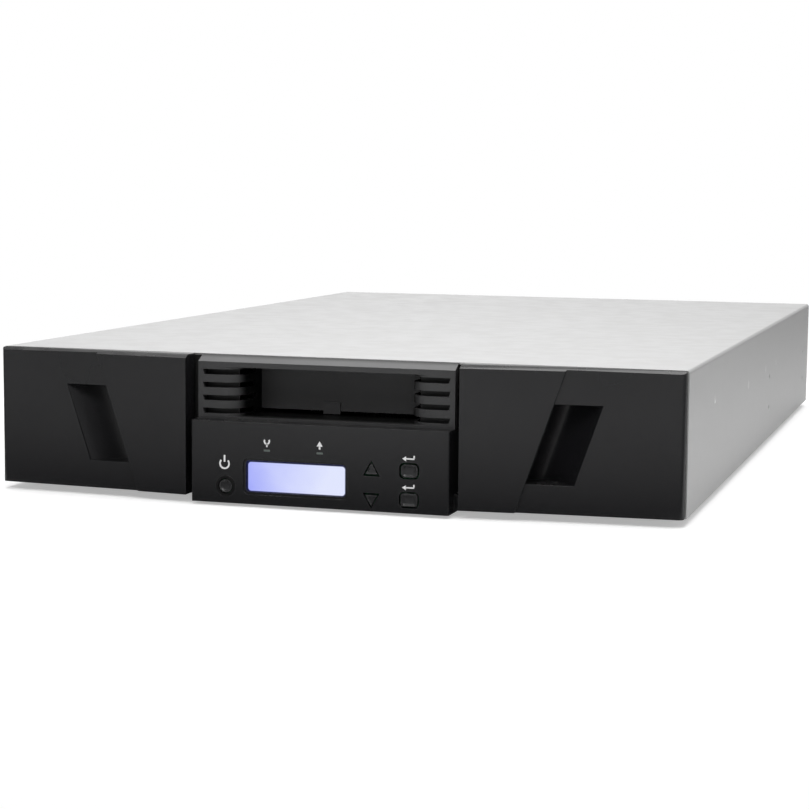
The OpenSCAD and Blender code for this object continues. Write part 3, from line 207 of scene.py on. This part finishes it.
def blend(tree, share, first, second):
    """A colour between two others; either may be a colour or a link."""
    return put(tree, "Mix", {0: share, 6: first, 7: second}, data_type="RGBA").outputs[2]


def scaled(tree, value, low, high):
    """A 0 to 1 value spread from low to high."""
    return put(tree, "MapRange", {"Value": value, "To Min": low, "To Max": high}).outputs[0]


def sheet_steel(name, pale, dark, rough, bloom=0.3, cloud=0.12, metal=1.0, wear_and_highlight=0.6):
    """Rolled steel sheet: crystal bloom, fine grain, bright edges (partly wear, partly painted highlight) and
    a little dust.
    """
    steel = bpy.data.materials.new(name)
    steel.use_nodes = True
    tree = steel.node_tree
    skin = tree.nodes["Principled BSDF"]
    place = put(tree, "TexCoord").outputs["Object"]
    crystals = put(tree, "TexVoronoi", {"Vector": place, "Scale": 120.0}, feature="F1")
    flake = put(tree, "SeparateColor", {0: crystals.outputs["Color"]}).outputs[0]
    grain = use(tree, fine_grain, {"Place": place, "Scale": 900.0})
    broad = put(tree, "Math", {0: grain.outputs["Tone"], 1: cloud}, operation="MULTIPLY").outputs[0]
    tone = put(tree, "Math", {0: flake, 1: bloom, 2: broad}, operation="MULTIPLY_ADD",
               use_clamp=True).outputs[0]
    base = blend(tree, tone, (*dark, 1), (*pale, 1))
    mask = use(tree, edge_wear_and_highlight, {"Place": place, "Reach": 0.0006}).outputs[0]
    bright = put(tree, "Math", {0: mask, 1: wear_and_highlight}, operation="MULTIPLY").outputs[0]
    base = blend(tree, bright, base, (0.85, 0.85, 0.85, 1))
    dust = use(tree, settled_dust, {"Place": place}).outputs[0]
    film = put(tree, "Math", {0: dust, 1: 0.12}, operation="MULTIPLY").outputs[0]
    tree.links.new(blend(tree, film, base, (0.62, 0.6, 0.57, 1)), skin.inputs["Base Color"])
    finish = scaled(tree, tone, rough + 0.015, rough - 0.015)
    tree.links.new(put(tree, "Math", {0: finish, 1: film}, operation="ADD").outputs[0],
                   skin.inputs["Roughness"])
    skin.inputs["Metallic"].default_value = metal
    bump = put(tree, "Bump", {"Strength": 0.08, "Distance": 0.0003, "Height": grain.outputs["Height"]})
    tree.links.new(bump.outputs[0], skin.inputs["Normal"])
    return steel


def dress(material, *names):
    """Gives CAD nodes a material in place of their plain one."""
    for name in names:
        mesh = nodes[name].data
        mesh.materials.clear()
        mesh.materials.append(material)


def soften(width, *names, segments=2):
    """Rounds the sharp edges of CAD nodes without touching their meshes."""
    for name in names:
        weld = nodes[name].modifiers.new("weld", "WELD")
        weld.merge_threshold = 0.000002
        plane = nodes[name].modifiers.new("plane", "DECIMATE")
        plane.decimate_type, plane.angle_limit = "DISSOLVE", radians(0.5)
        round_off = nodes[name].modifiers.new("round_off", "BEVEL")
        round_off.width, round_off.segments, round_off.angle_limit = width, segments, radians(32)
        round_off.limit_method, round_off.profile, round_off.material = "ANGLE", 0.5, -1
        round_off.use_clamp_overlap = True
        even = nodes[name].modifiers.new("even", "WEIGHTED_NORMAL")
        even.weight, even.keep_sharp = 80, False


cover_steel = sheet_steel("cover_steel", (0.64, 0.64, 0.64), (0.58, 0.58, 0.58), 0.36, bloom=0.08, cloud=0.05)
zinc_steel = sheet_steel("zinc_steel", (0.66, 0.67, 0.68), (0.52, 0.53, 0.54), 0.36, bloom=0.4)
# Near-black paint on the front frame, which also stands as painted shade in the gaps round the mouldings.
black_steel = sheet_steel("black_steel", (0.012, 0.012, 0.012), (0.008, 0.008, 0.008), 0.5, metal=0.0,
                          wear_and_highlight=0.05)
dress(cover_steel, "top_cover")
dress(zinc_steel, "base_pan", "rear_panel", "bay_wall_left", "bay_wall_right", "robot_base",
      "drive_sled", "power_supply")
dress(black_steel, "front_frame")


# ---- Front mouldings ----
# Magazine fronts, control panel and mail slot frame, moulded in dark charcoal plastic
# with a fine spark-eroded grain; the edges are softly rounded, paler partly from handling and partly as a
# painted highlight.
def moulded_plastic(name, pale, dark, rough, grain_size=1400.0, shine=0.5, edge=(0.2, 0.2, 0.2),
                    wear_and_highlight=0.5):
    """Moulded plastic: fine grain, slight mottling, paler edges (partly rubbing, partly painted highlight)
    and dust on level faces.
    """
    plastic = bpy.data.materials.new(name)
    plastic.use_nodes = True
    tree = plastic.node_tree
    skin = tree.nodes["Principled BSDF"]
    place = put(tree, "TexCoord").outputs["Object"]
    grain = use(tree, fine_grain, {"Place": place, "Scale": grain_size})
    base = blend(tree, grain.outputs["Tone"], (*dark, 1), (*pale, 1))
    mask = use(tree, edge_wear_and_highlight, {"Place": place, "Reach": 0.0005}).outputs[0]
    rubbed_and_lit = put(tree, "Math", {0: mask, 1: wear_and_highlight}, operation="MULTIPLY").outputs[0]
    base = blend(tree, rubbed_and_lit, base, (*edge, 1))
    dust = use(tree, settled_dust, {"Place": place}).outputs[0]
    film = put(tree, "Math", {0: dust, 1: 0.06}, operation="MULTIPLY").outputs[0]
    tree.links.new(blend(tree, film, base, (0.5, 0.49, 0.47, 1)), skin.inputs["Base Color"])
    finish = scaled(tree, grain.outputs["Tone"], rough + 0.07, rough - 0.07)
    tree.links.new(put(tree, "Math", {0: finish, 1: film}, operation="ADD").outputs[0],
                   skin.inputs["Roughness"])
    skin.inputs["Specular IOR Level"].default_value = shine
    bump = put(tree, "Bump", {"Strength": 0.12, "Distance": 0.0002, "Height": grain.outputs["Height"]})
    tree.links.new(bump.outputs[0], skin.inputs["Normal"])
    return plastic


front_plastic = moulded_plastic("front_plastic", (0.010, 0.010, 0.011), (0.006, 0.006, 0.007), 0.25,
                                edge=(0.10, 0.10, 0.10))


def paint_shade_inside(material, start, end, least):
    """Paints shade into a material: darkens its colour and gloss with depth behind the front face."""
    tree = material.node_tree
    skin = tree.nodes["Principled BSDF"]
    depth = put(tree, "SeparateXYZ", {0: put(tree, "TexCoord").outputs["Object"]}).outputs["Y"]
    share = put(tree, "MapRange", {"Value": depth, "From Min": start, "From Max": end,
                                   "To Min": 1.0, "To Max": least}).outputs[0]
    colour = skin.inputs["Base Color"].links[0].from_socket
    tree.links.new(blend(tree, share, (0.001, 0.001, 0.001, 1), colour), skin.inputs["Base Color"])
    gloss = put(tree, "Math", {0: share, 1: skin.inputs["Specular IOR Level"].default_value},
                operation="MULTIPLY").outputs[0]
    tree.links.new(gloss, skin.inputs["Specular IOR Level"])


slot_plastic = moulded_plastic("slot_plastic", (0.040, 0.040, 0.041), (0.030, 0.030, 0.031), 0.33,
                               edge=(0.10, 0.10, 0.10))
slot_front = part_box("mail_slot_frame")[0].y
# The slot frame's plastic is painted darker and less glossy deeper inside the slot: painted shade.
paint_shade_inside(slot_plastic, slot_front + 0.004, slot_front + 0.009, 0.08)
dress(slot_plastic, "mail_slot_frame")
dress(front_plastic, "bezel_left", "bezel_right", "control_panel")
soften(0.0006, "bezel_left", "bezel_right")
soften(0.0012, "control_panel", segments=3)
soften(0.0004, "mail_slot_frame")


# ---- Black fittings ----
# The ring round the power button, the drive's front and its door, the fan, and the power inlet
# with its rocker. Injection moulded in plain black plastic and clipped or screwed into the sheet.
black_plastic = moulded_plastic("black_plastic", (0.008, 0.008, 0.008), (0.005, 0.005, 0.005), 0.35,
                                shine=0.2, edge=(0.05, 0.05, 0.05))
dress(black_plastic, "power_ring", "drive_faceplate", "power_inlet", "fan_frame", "fan_rotor",
      "drive_door", "power_switch")


# ---- Mail door ----
# A plain dark grey flap behind the mail slot, hung on a pin and lifted by a passing cartridge.
# Moulded plastic, a little paler than the frame round it.
door_plastic = moulded_plastic("door_plastic", (0.05, 0.05, 0.052), (0.038, 0.038, 0.039), 0.5)
dress(door_plastic, "mail_door")


# ---- Trays and turntable ----
# The two magazines' trays, screwed to their fronts, and the table that turns a cartridge between
# them, the slot and the drive. Moulded in one dark grey filled plastic.
tray_plastic = moulded_plastic("tray_plastic", (0.035, 0.035, 0.038), (0.024, 0.024, 0.026), 0.5)
dress(tray_plastic, "tray_left", "tray_right", "turntable")


# ---- Shafts and runners ----
# Belt shafts that turn in the trays' bores, and the strips that the trays slide on.
# Moulded in pale, smooth bearing plastic.
pale_plastic = moulded_plastic("pale_plastic", (0.7, 0.7, 0.67), (0.58, 0.58, 0.55), 0.4,
                               edge=(0.8, 0.8, 0.78))
dress(pale_plastic, "magazine_runners", "front_shaft_left", "front_shaft_right", "rear_shaft_left",
      "rear_shaft_right")


# ---- Feet and belts ----
# Soft feet under the base pan's corners, and the belts that run round the magazines' shafts.
# Matt black rubber, coarser on the feet.
rubber = moulded_plastic("rubber", (0.02, 0.02, 0.02), (0.012, 0.012, 0.012), 0.8, grain_size=500.0)
belt_rubber = moulded_plastic("belt_rubber", (0.03, 0.03, 0.03), (0.018, 0.018, 0.018), 0.75,
                              grain_size=700.0)
dress(rubber, "rubber_feet")
dress(belt_rubber, "belts_left", "belts_right")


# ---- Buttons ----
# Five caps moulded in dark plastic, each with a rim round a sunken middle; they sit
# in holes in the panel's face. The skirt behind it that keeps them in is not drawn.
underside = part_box("base_pan")[0].z
face_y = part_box("control_panel")[0].y


def fit(name, shape, material, body, *stands_for, crease=30):
    """Makes a finished shape a piece that rides on a body in place of these CAD nodes."""
    bmesh.ops.recalc_face_normals(shape, faces=shape.faces)
    mesh = bpy.data.meshes.new(name)
    shape.to_mesh(mesh)
    shape.free()
    mesh.polygons.foreach_set("use_smooth", [True] * len(mesh.polygons))
    mesh.set_sharp_from_angle(angle=radians(crease))
    mesh.materials.append(material)
    piece = bpy.data.objects.new(name, mesh)
    bpy.context.scene.collection.objects.link(piece)
    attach(piece, body)
    if stands_for:
        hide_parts(*stands_for)
    return piece


def thicken(shape, depth):
    """Pulls a flat outline forward by depth and closes its back; returns the front face."""
    pulled = bmesh.ops.extrude_face_region(shape, geom=shape.faces[:])["geom"]
    bmesh.ops.translate(shape, verts=[v for v in pulled if isinstance(v, bmesh.types.BMVert)],
                        vec=(0, 0, depth))
    bmesh.ops.holes_fill(shape, edges=shape.edges)
    bmesh.ops.recalc_face_normals(shape, faces=shape.faces)
    return [f for f in pulled if isinstance(f, bmesh.types.BMFace)]


def round_edges(shape, width, angle=25, segments=2):
    """Bevels every edge sharper than the angle."""
    sharp = [e for e in shape.edges if len(e.link_faces) == 2 and e.calc_face_angle(0) > radians(angle)]
    bmesh.ops.bevel(shape, geom=sharp, offset=width, segments=segments, profile=0.5, affect="EDGES",
                    material=-1, clamp_overlap=True)


def outline(kind, width, height, corner):
    """A flat face: a pad, an arrow that points up, or a disc, with its corners rounded."""
    shape = bmesh.new()
    if kind == "pad":
        bmesh.ops.create_grid(shape, x_segments=1, y_segments=1, size=0.5)
    else:
        bmesh.ops.create_circle(shape, cap_ends=True, radius=0.5, segments=3 if kind == "arrow" else 48)
    if kind == "arrow":
        low = min(v.co.y for v in shape.verts)
        high = max(v.co.y for v in shape.verts)
        half = max(v.co.x for v in shape.verts)
        bmesh.ops.translate(shape, verts=shape.verts, vec=(0, -(low + high) / 2, 0))
        bmesh.ops.scale(shape, verts=shape.verts, vec=(0.5 / half, 1 / (high - low), 1))
    bmesh.ops.scale(shape, verts=shape.verts, vec=(width, height, 1))
    if corner:
        bmesh.ops.bevel(shape, geom=shape.verts[:], offset=corner, segments=6, profile=0.5,
                        affect="VERTICES", material=-1)
    return shape


def stand_up(shape, x, y, z, tip=0.0):
    """Turns a shape drawn flat to face the front, tips it round its own axis and puts it in place."""
    bmesh.ops.rotate(shape, verts=shape.verts, matrix=Matrix.Rotation(tip, 3, "Z"))
    bmesh.ops.rotate(shape, verts=shape.verts, matrix=Matrix.Rotation(pi / 2, 3, "X"))
    bmesh.ops.translate(shape, verts=shape.verts, vec=(x, y, z))


def draw_in(shape, face, share, drop):
    """Pulls a smaller face out of the front one, moved by drop; returns the new front face."""
    pulled = bmesh.ops.extrude_face_region(shape, geom=face)["geom"]
    bmesh.ops.delete(shape, geom=[f for f in face if f.is_valid], context="FACES_ONLY")
    moved = [v for v in pulled if isinstance(v, bmesh.types.BMVert)]
    bmesh.ops.scale(shape, verts=moved, vec=(share, share, 1))
    bmesh.ops.translate(shape, verts=moved, vec=(0, 0, drop))
    return [f for f in pulled if isinstance(f, bmesh.types.BMFace)]


# The caps' paler rims are partly wear and partly a painted highlight.
key_plastic = moulded_plastic("key_plastic", (0.022, 0.022, 0.023), (0.015, 0.015, 0.016), 0.25,
                              edge=(0.2, 0.2, 0.2), wear_and_highlight=0.8)
cap_depth = 0.0030
cap_back = face_y + 0.0001 + cap_depth
for name, kind, x, up, width, height, corner, tip in (
        ("power", "disc", -0.0604, 0.0076, 0.0082, 0.0082, 0, 0),
        ("up", "arrow", 0.0346, 0.0232, 0.0074, 0.0066, 0.0005, 0),
        ("down", "arrow", 0.0346, 0.0037, 0.0074, 0.0066, 0.0005, pi),
        ("escape", "pad", 0.0586, 0.0229, 0.0104, 0.0078, 0.0025, 0),
        ("enter", "pad", 0.0586, 0.0052, 0.0104, 0.0078, 0.0013, 0)):
    shape = outline(kind, width, height, corner)
    front = thicken(shape, cap_depth)
    front = draw_in(shape, front, 0.86, 0.0)
    front = draw_in(shape, front, 0.74, -0.0008)
    front = draw_in(shape, front, 0.80, -0.0001)
    round_edges(shape, 0.00012, angle=20)
    stand_up(shape, x, cap_back, underside + up, tip)
    fit(name + "_cap", shape, key_plastic, name + "_button", name + "_button")


# ---- Panel marks ----
# Plain function signs, pad-printed in white ink on the panel's face: power, service and
# tape in use, and a back and an enter arrow over the two square keys.
def printed_ink():
    """Matt white ink, a little uneven where the pad let go."""
    ink = bpy.data.materials.new("printed_ink")
    ink.use_nodes = True
    tree = ink.node_tree
    skin = tree.nodes["Principled BSDF"]
    place = put(tree, "TexCoord").outputs["Object"]
    grain = use(tree, fine_grain, {"Place": place, "Scale": 2500.0})
    tree.links.new(blend(tree, grain.outputs["Height"], (0.62, 0.62, 0.62, 1), (0.8, 0.8, 0.8, 1)),
                   skin.inputs["Base Color"])
    tree.links.new(scaled(tree, grain.outputs["Height"], 0.45, 0.65), skin.inputs["Roughness"])
    return ink


def bar(shape, x, y, width, height, tip=0.0):
    """A flat stroke round its middle."""
    made = bmesh.ops.create_grid(shape, x_segments=1, y_segments=1, size=0.5)["verts"]
    bmesh.ops.scale(shape, verts=made, vec=(width, height, 1))
    bmesh.ops.rotate(shape, verts=made, matrix=Matrix.Rotation(tip, 3, "Z"))
    bmesh.ops.translate(shape, verts=made, vec=(x, y, 0))


def arc(shape, x, y, radius, stroke, gap):
    """A round stroke, open at the top by the gap."""
    inner = shape.verts.new((x, y + radius - stroke / 2, 0))
    outer = shape.verts.new((x, y + radius + stroke / 2, 0))
    edge = shape.edges.new((inner, outer))
    bmesh.ops.rotate(shape, verts=[inner, outer], cent=(x, y, 0), matrix=Matrix.Rotation(gap / 2, 3, "Z"))
    bmesh.ops.spin(shape, geom=[inner, outer, edge], cent=(x, y, 0), axis=(0, 0, 1),
                   angle=2 * pi - gap, steps=28)


def point(shape, x, y, width, height, tip=0.0):
    """A solid arrow head round its middle."""
    made = bmesh.ops.create_circle(shape, cap_ends=True, radius=0.577, segments=3)["verts"]
    bmesh.ops.scale(shape, verts=made, vec=(width, height / 0.866, 1))
    bmesh.ops.rotate(shape, verts=made, matrix=Matrix.Rotation(tip, 3, "Z"))
    bmesh.ops.translate(shape, verts=made, vec=(x, y, 0))


shape = bmesh.new()
arc(shape, -0.0610, 0.0216, 0.0030, 0.0011, radians(95))
bar(shape, -0.0610, 0.0248, 0.0011, 0.0042)
arc(shape, -0.0330, 0.0367, 0.0016, 0.0010, radians(110))
bar(shape, -0.0330, 0.0343, 0.0010, 0.0022)
point(shape, 0.0014, 0.0362, 0.0040, 0.0032)
bar(shape, 0.0014, 0.0341, 0.0012, 0.0016)
for level in (0.0304, 0.0128):
    bar(shape, 0.0593, level, 0.0052, 0.0009)
    point(shape, 0.0558, level, 0.0030, 0.0024, tip=pi / 2)
bar(shape, 0.0617, 0.0316, 0.0009, 0.0016)
bar(shape, 0.0617, 0.0140, 0.0009, 0.0016)
thicken(shape, 0.0001)
stand_up(shape, 0, face_y + 0.00006, underside)
fit("panel_marks", shape, printed_ink(), "chassis")


# ---- Display ----
# A backlit liquid crystal module behind a clear window; the backlight is lavender blue
# and almost white towards its lamp on the right.
def lit_display():
    """The glowing face of the module, dark outside its lit field."""
    glow = bpy.data.materials.new("display")
    glow.use_nodes = True
    tree = glow.node_tree
    skin = tree.nodes["Principled BSDF"]
    left, right, bottom, top = -0.0467, 0.0170, underside + 0.0048, underside + 0.0232
    corner = 0.0022
    place = put(tree, "TexCoord").outputs["Object"]
    where = put(tree, "SeparateXYZ", {0: place})
    along = put(tree, "MapRange", {"Value": where.outputs["X"], "From Min": left, "From Max": right})
    cloud = put(tree, "TexNoise", {"Vector": place, "Scale": 55.0, "Detail": 2.0})
    mixed = put(tree, "Math", {0: cloud.outputs[0], 1: 0.35, 2: along.outputs[0]}, operation="MULTIPLY_ADD")
    tint = put(tree, "ValToRGB", {0: mixed.outputs[0]})
    ramp = tint.color_ramp.elements
    ramp[0].position, ramp[0].color = 0.15, (0.38, 0.42, 0.93, 1)
    ramp[1].position, ramp[1].color = 1.05, (0.74, 0.78, 0.95, 1)
    half_way = tint.color_ramp.elements.new(0.62)
    half_way.color = (0.62, 0.66, 0.95, 1)
    middle = ((left + right) / 2, 0, (bottom + top) / 2)
    reach = ((right - left) / 2 - corner, 10, (top - bottom) / 2 - corner)
    off = put(tree, "VectorMath", {0: place, 1: middle}, operation="SUBTRACT")
    off = put(tree, "VectorMath", {0: off.outputs[0]}, operation="ABSOLUTE")
    off = put(tree, "VectorMath", {0: off.outputs[0], 1: reach}, operation="SUBTRACT")
    off = put(tree, "VectorMath", {0: off.outputs[0], 1: (0, 0, 0)}, operation="MAXIMUM")
    off = put(tree, "VectorMath", {0: off.outputs[0]}, operation="LENGTH")
    lit = put(tree, "MapRange", {"Value": off.outputs["Value"], "From Min": corner,
                                 "From Max": corner - 0.0004})
    face = blend(tree, lit.outputs[0], (0.010, 0.012, 0.05, 1), tint.outputs[0])
    tree.links.new(face, skin.inputs["Emission Color"])
    skin.inputs["Emission Strength"].default_value = 1.0
    tree.links.new(blend(tree, cloud.outputs[0], (0.01, 0.01, 0.02, 1), (0.02, 0.02, 0.03, 1)),
                   skin.inputs["Base Color"])
    tree.links.new(scaled(tree, cloud.outputs[0], 0.25, 0.35), skin.inputs["Roughness"])
    return glow


def clear_window():
    """Clear acrylic with a faint haze."""
    acrylic = bpy.data.materials.new("display_window")
    acrylic.use_nodes = True
    tree = acrylic.node_tree
    skin = tree.nodes["Principled BSDF"]
    place = put(tree, "TexCoord").outputs["Object"]
    grain = use(tree, fine_grain, {"Place": place, "Scale": 600.0})
    tree.links.new(blend(tree, grain.outputs["Tone"], (0.97, 0.97, 1, 1), (0.93, 0.93, 0.97, 1)),
                   skin.inputs["Base Color"])
    tree.links.new(scaled(tree, grain.outputs["Height"], 0.02, 0.06), skin.inputs["Roughness"])
    skin.inputs["Transmission Weight"].default_value = 1.0
    skin.inputs["IOR"].default_value = 1.3
    return acrylic


dress(lit_display(), "lcd_module")
dress(clear_window(), "lcd_window")


# ---- Small metal parts ----
# Screws, pins, motors, gears and posts: turned, cut or stamped metal with fine tool lines.
def turned_metal(name, pale, dark, rough):
    """Machined metal: tool lines and mottling."""
    bright = bpy.data.materials.new(name)
    bright.use_nodes = True
    tree = bright.node_tree
    skin = tree.nodes["Principled BSDF"]
    place = put(tree, "TexCoord").outputs["Object"]
    stretched = put(tree, "Mapping", {"Vector": place, "Scale": (200.0, 200.0, 3000.0)})
    lines = put(tree, "TexNoise", {"Vector": stretched.outputs[0], "Scale": 1.0, "Detail": 2.0})
    grain = use(tree, fine_grain, {"Place": place, "Scale": 1200.0})
    base = blend(tree, grain.outputs["Tone"], (*dark, 1), (*pale, 1))
    tree.links.new(base, skin.inputs["Base Color"])
    tree.links.new(scaled(tree, lines.outputs[0], rough - 0.08, rough + 0.1), skin.inputs["Roughness"])
    skin.inputs["Metallic"].default_value = 1.0
    bump = put(tree, "Bump", {"Strength": 0.1, "Distance": 0.0002, "Height": lines.outputs[0]})
    tree.links.new(bump.outputs[0], skin.inputs["Normal"])
    return bright


screw_steel = turned_metal("screw_steel", (0.72, 0.72, 0.71), (0.55, 0.55, 0.55), 0.3)
motor_steel = turned_metal("motor_steel", (0.6, 0.6, 0.6), (0.42, 0.42, 0.43), 0.35)
brass = turned_metal("brass", (0.72, 0.55, 0.25), (0.6, 0.44, 0.18), 0.3)
port_metal = turned_metal("port_metal", (0.75, 0.76, 0.78), (0.6, 0.61, 0.63), 0.25)
drive_metal = turned_metal("drive_metal", (0.62, 0.63, 0.64), (0.5, 0.5, 0.52), 0.42)
dress(screw_steel, "cover_screws", "door_pin", "fan_guard")
dress(motor_steel, "turn_motor", "magazine_motors")
dress(brass, "board_posts", "motor_gear_left", "motor_gear_right", "turn_pinion", "picker_carriage")
dress(port_metal, "data_ports", "network_port")
dress(drive_metal, "tape_drive")


# ---- Circuit boards ----
# Glass-epoxy boards with a green solder mask; copper tracks show as paler lines under it.
def circuit_board(name):
    """Solder mask over fine tracks, with pads in rows."""
    laminate = bpy.data.materials.new(name)
    laminate.use_nodes = True
    tree = laminate.node_tree
    skin = tree.nodes["Principled BSDF"]
    place = put(tree, "TexCoord").outputs["Object"]
    tracks = put(tree, "TexBrick", {"Vector": place, "Scale": 90.0, "Mortar Size": 0.03})
    grain = use(tree, fine_grain, {"Place": place, "Scale": 700.0})
    base = blend(tree, grain.outputs["Tone"], (0.008, 0.07, 0.03, 1), (0.015, 0.11, 0.05, 1))
    base = blend(tree, tracks.outputs["Fac"], base, (0.05, 0.2, 0.09, 1))
    tree.links.new(base, skin.inputs["Base Color"])
    tree.links.new(scaled(tree, grain.outputs["Tone"], 0.25, 0.4), skin.inputs["Roughness"])
    bump = put(tree, "Bump", {"Strength": 0.2, "Distance": 0.0002, "Height": tracks.outputs["Fac"]})
    tree.links.new(bump.outputs[0], skin.inputs["Normal"])
    return laminate


dress(circuit_board("board"), "front_board", "sled_board", "controller_board")


# ---- Cartridges ----
# Tape cartridges standing in the magazines' two tiers, each a closed shell.
# Dark blue moulded plastic, paler along its edges, partly from rubbing and partly as a painted highlight.
cartridge_plastic = moulded_plastic("cartridge_plastic", (0.03, 0.035, 0.06), (0.02, 0.024, 0.045), 0.4)
dress(cartridge_plastic, "cartridges_left", "cartridges_right")


# ---- Status lamps ----
# Two small unlit light guides in the control panel, pressed in under the two upper marks.
# Tinted, slightly glossy plastic.
lamp_plastic = moulded_plastic("lamp", (0.10, 0.12, 0.11), (0.07, 0.09, 0.08), 0.3)
dress(lamp_plastic, "status_lamps")
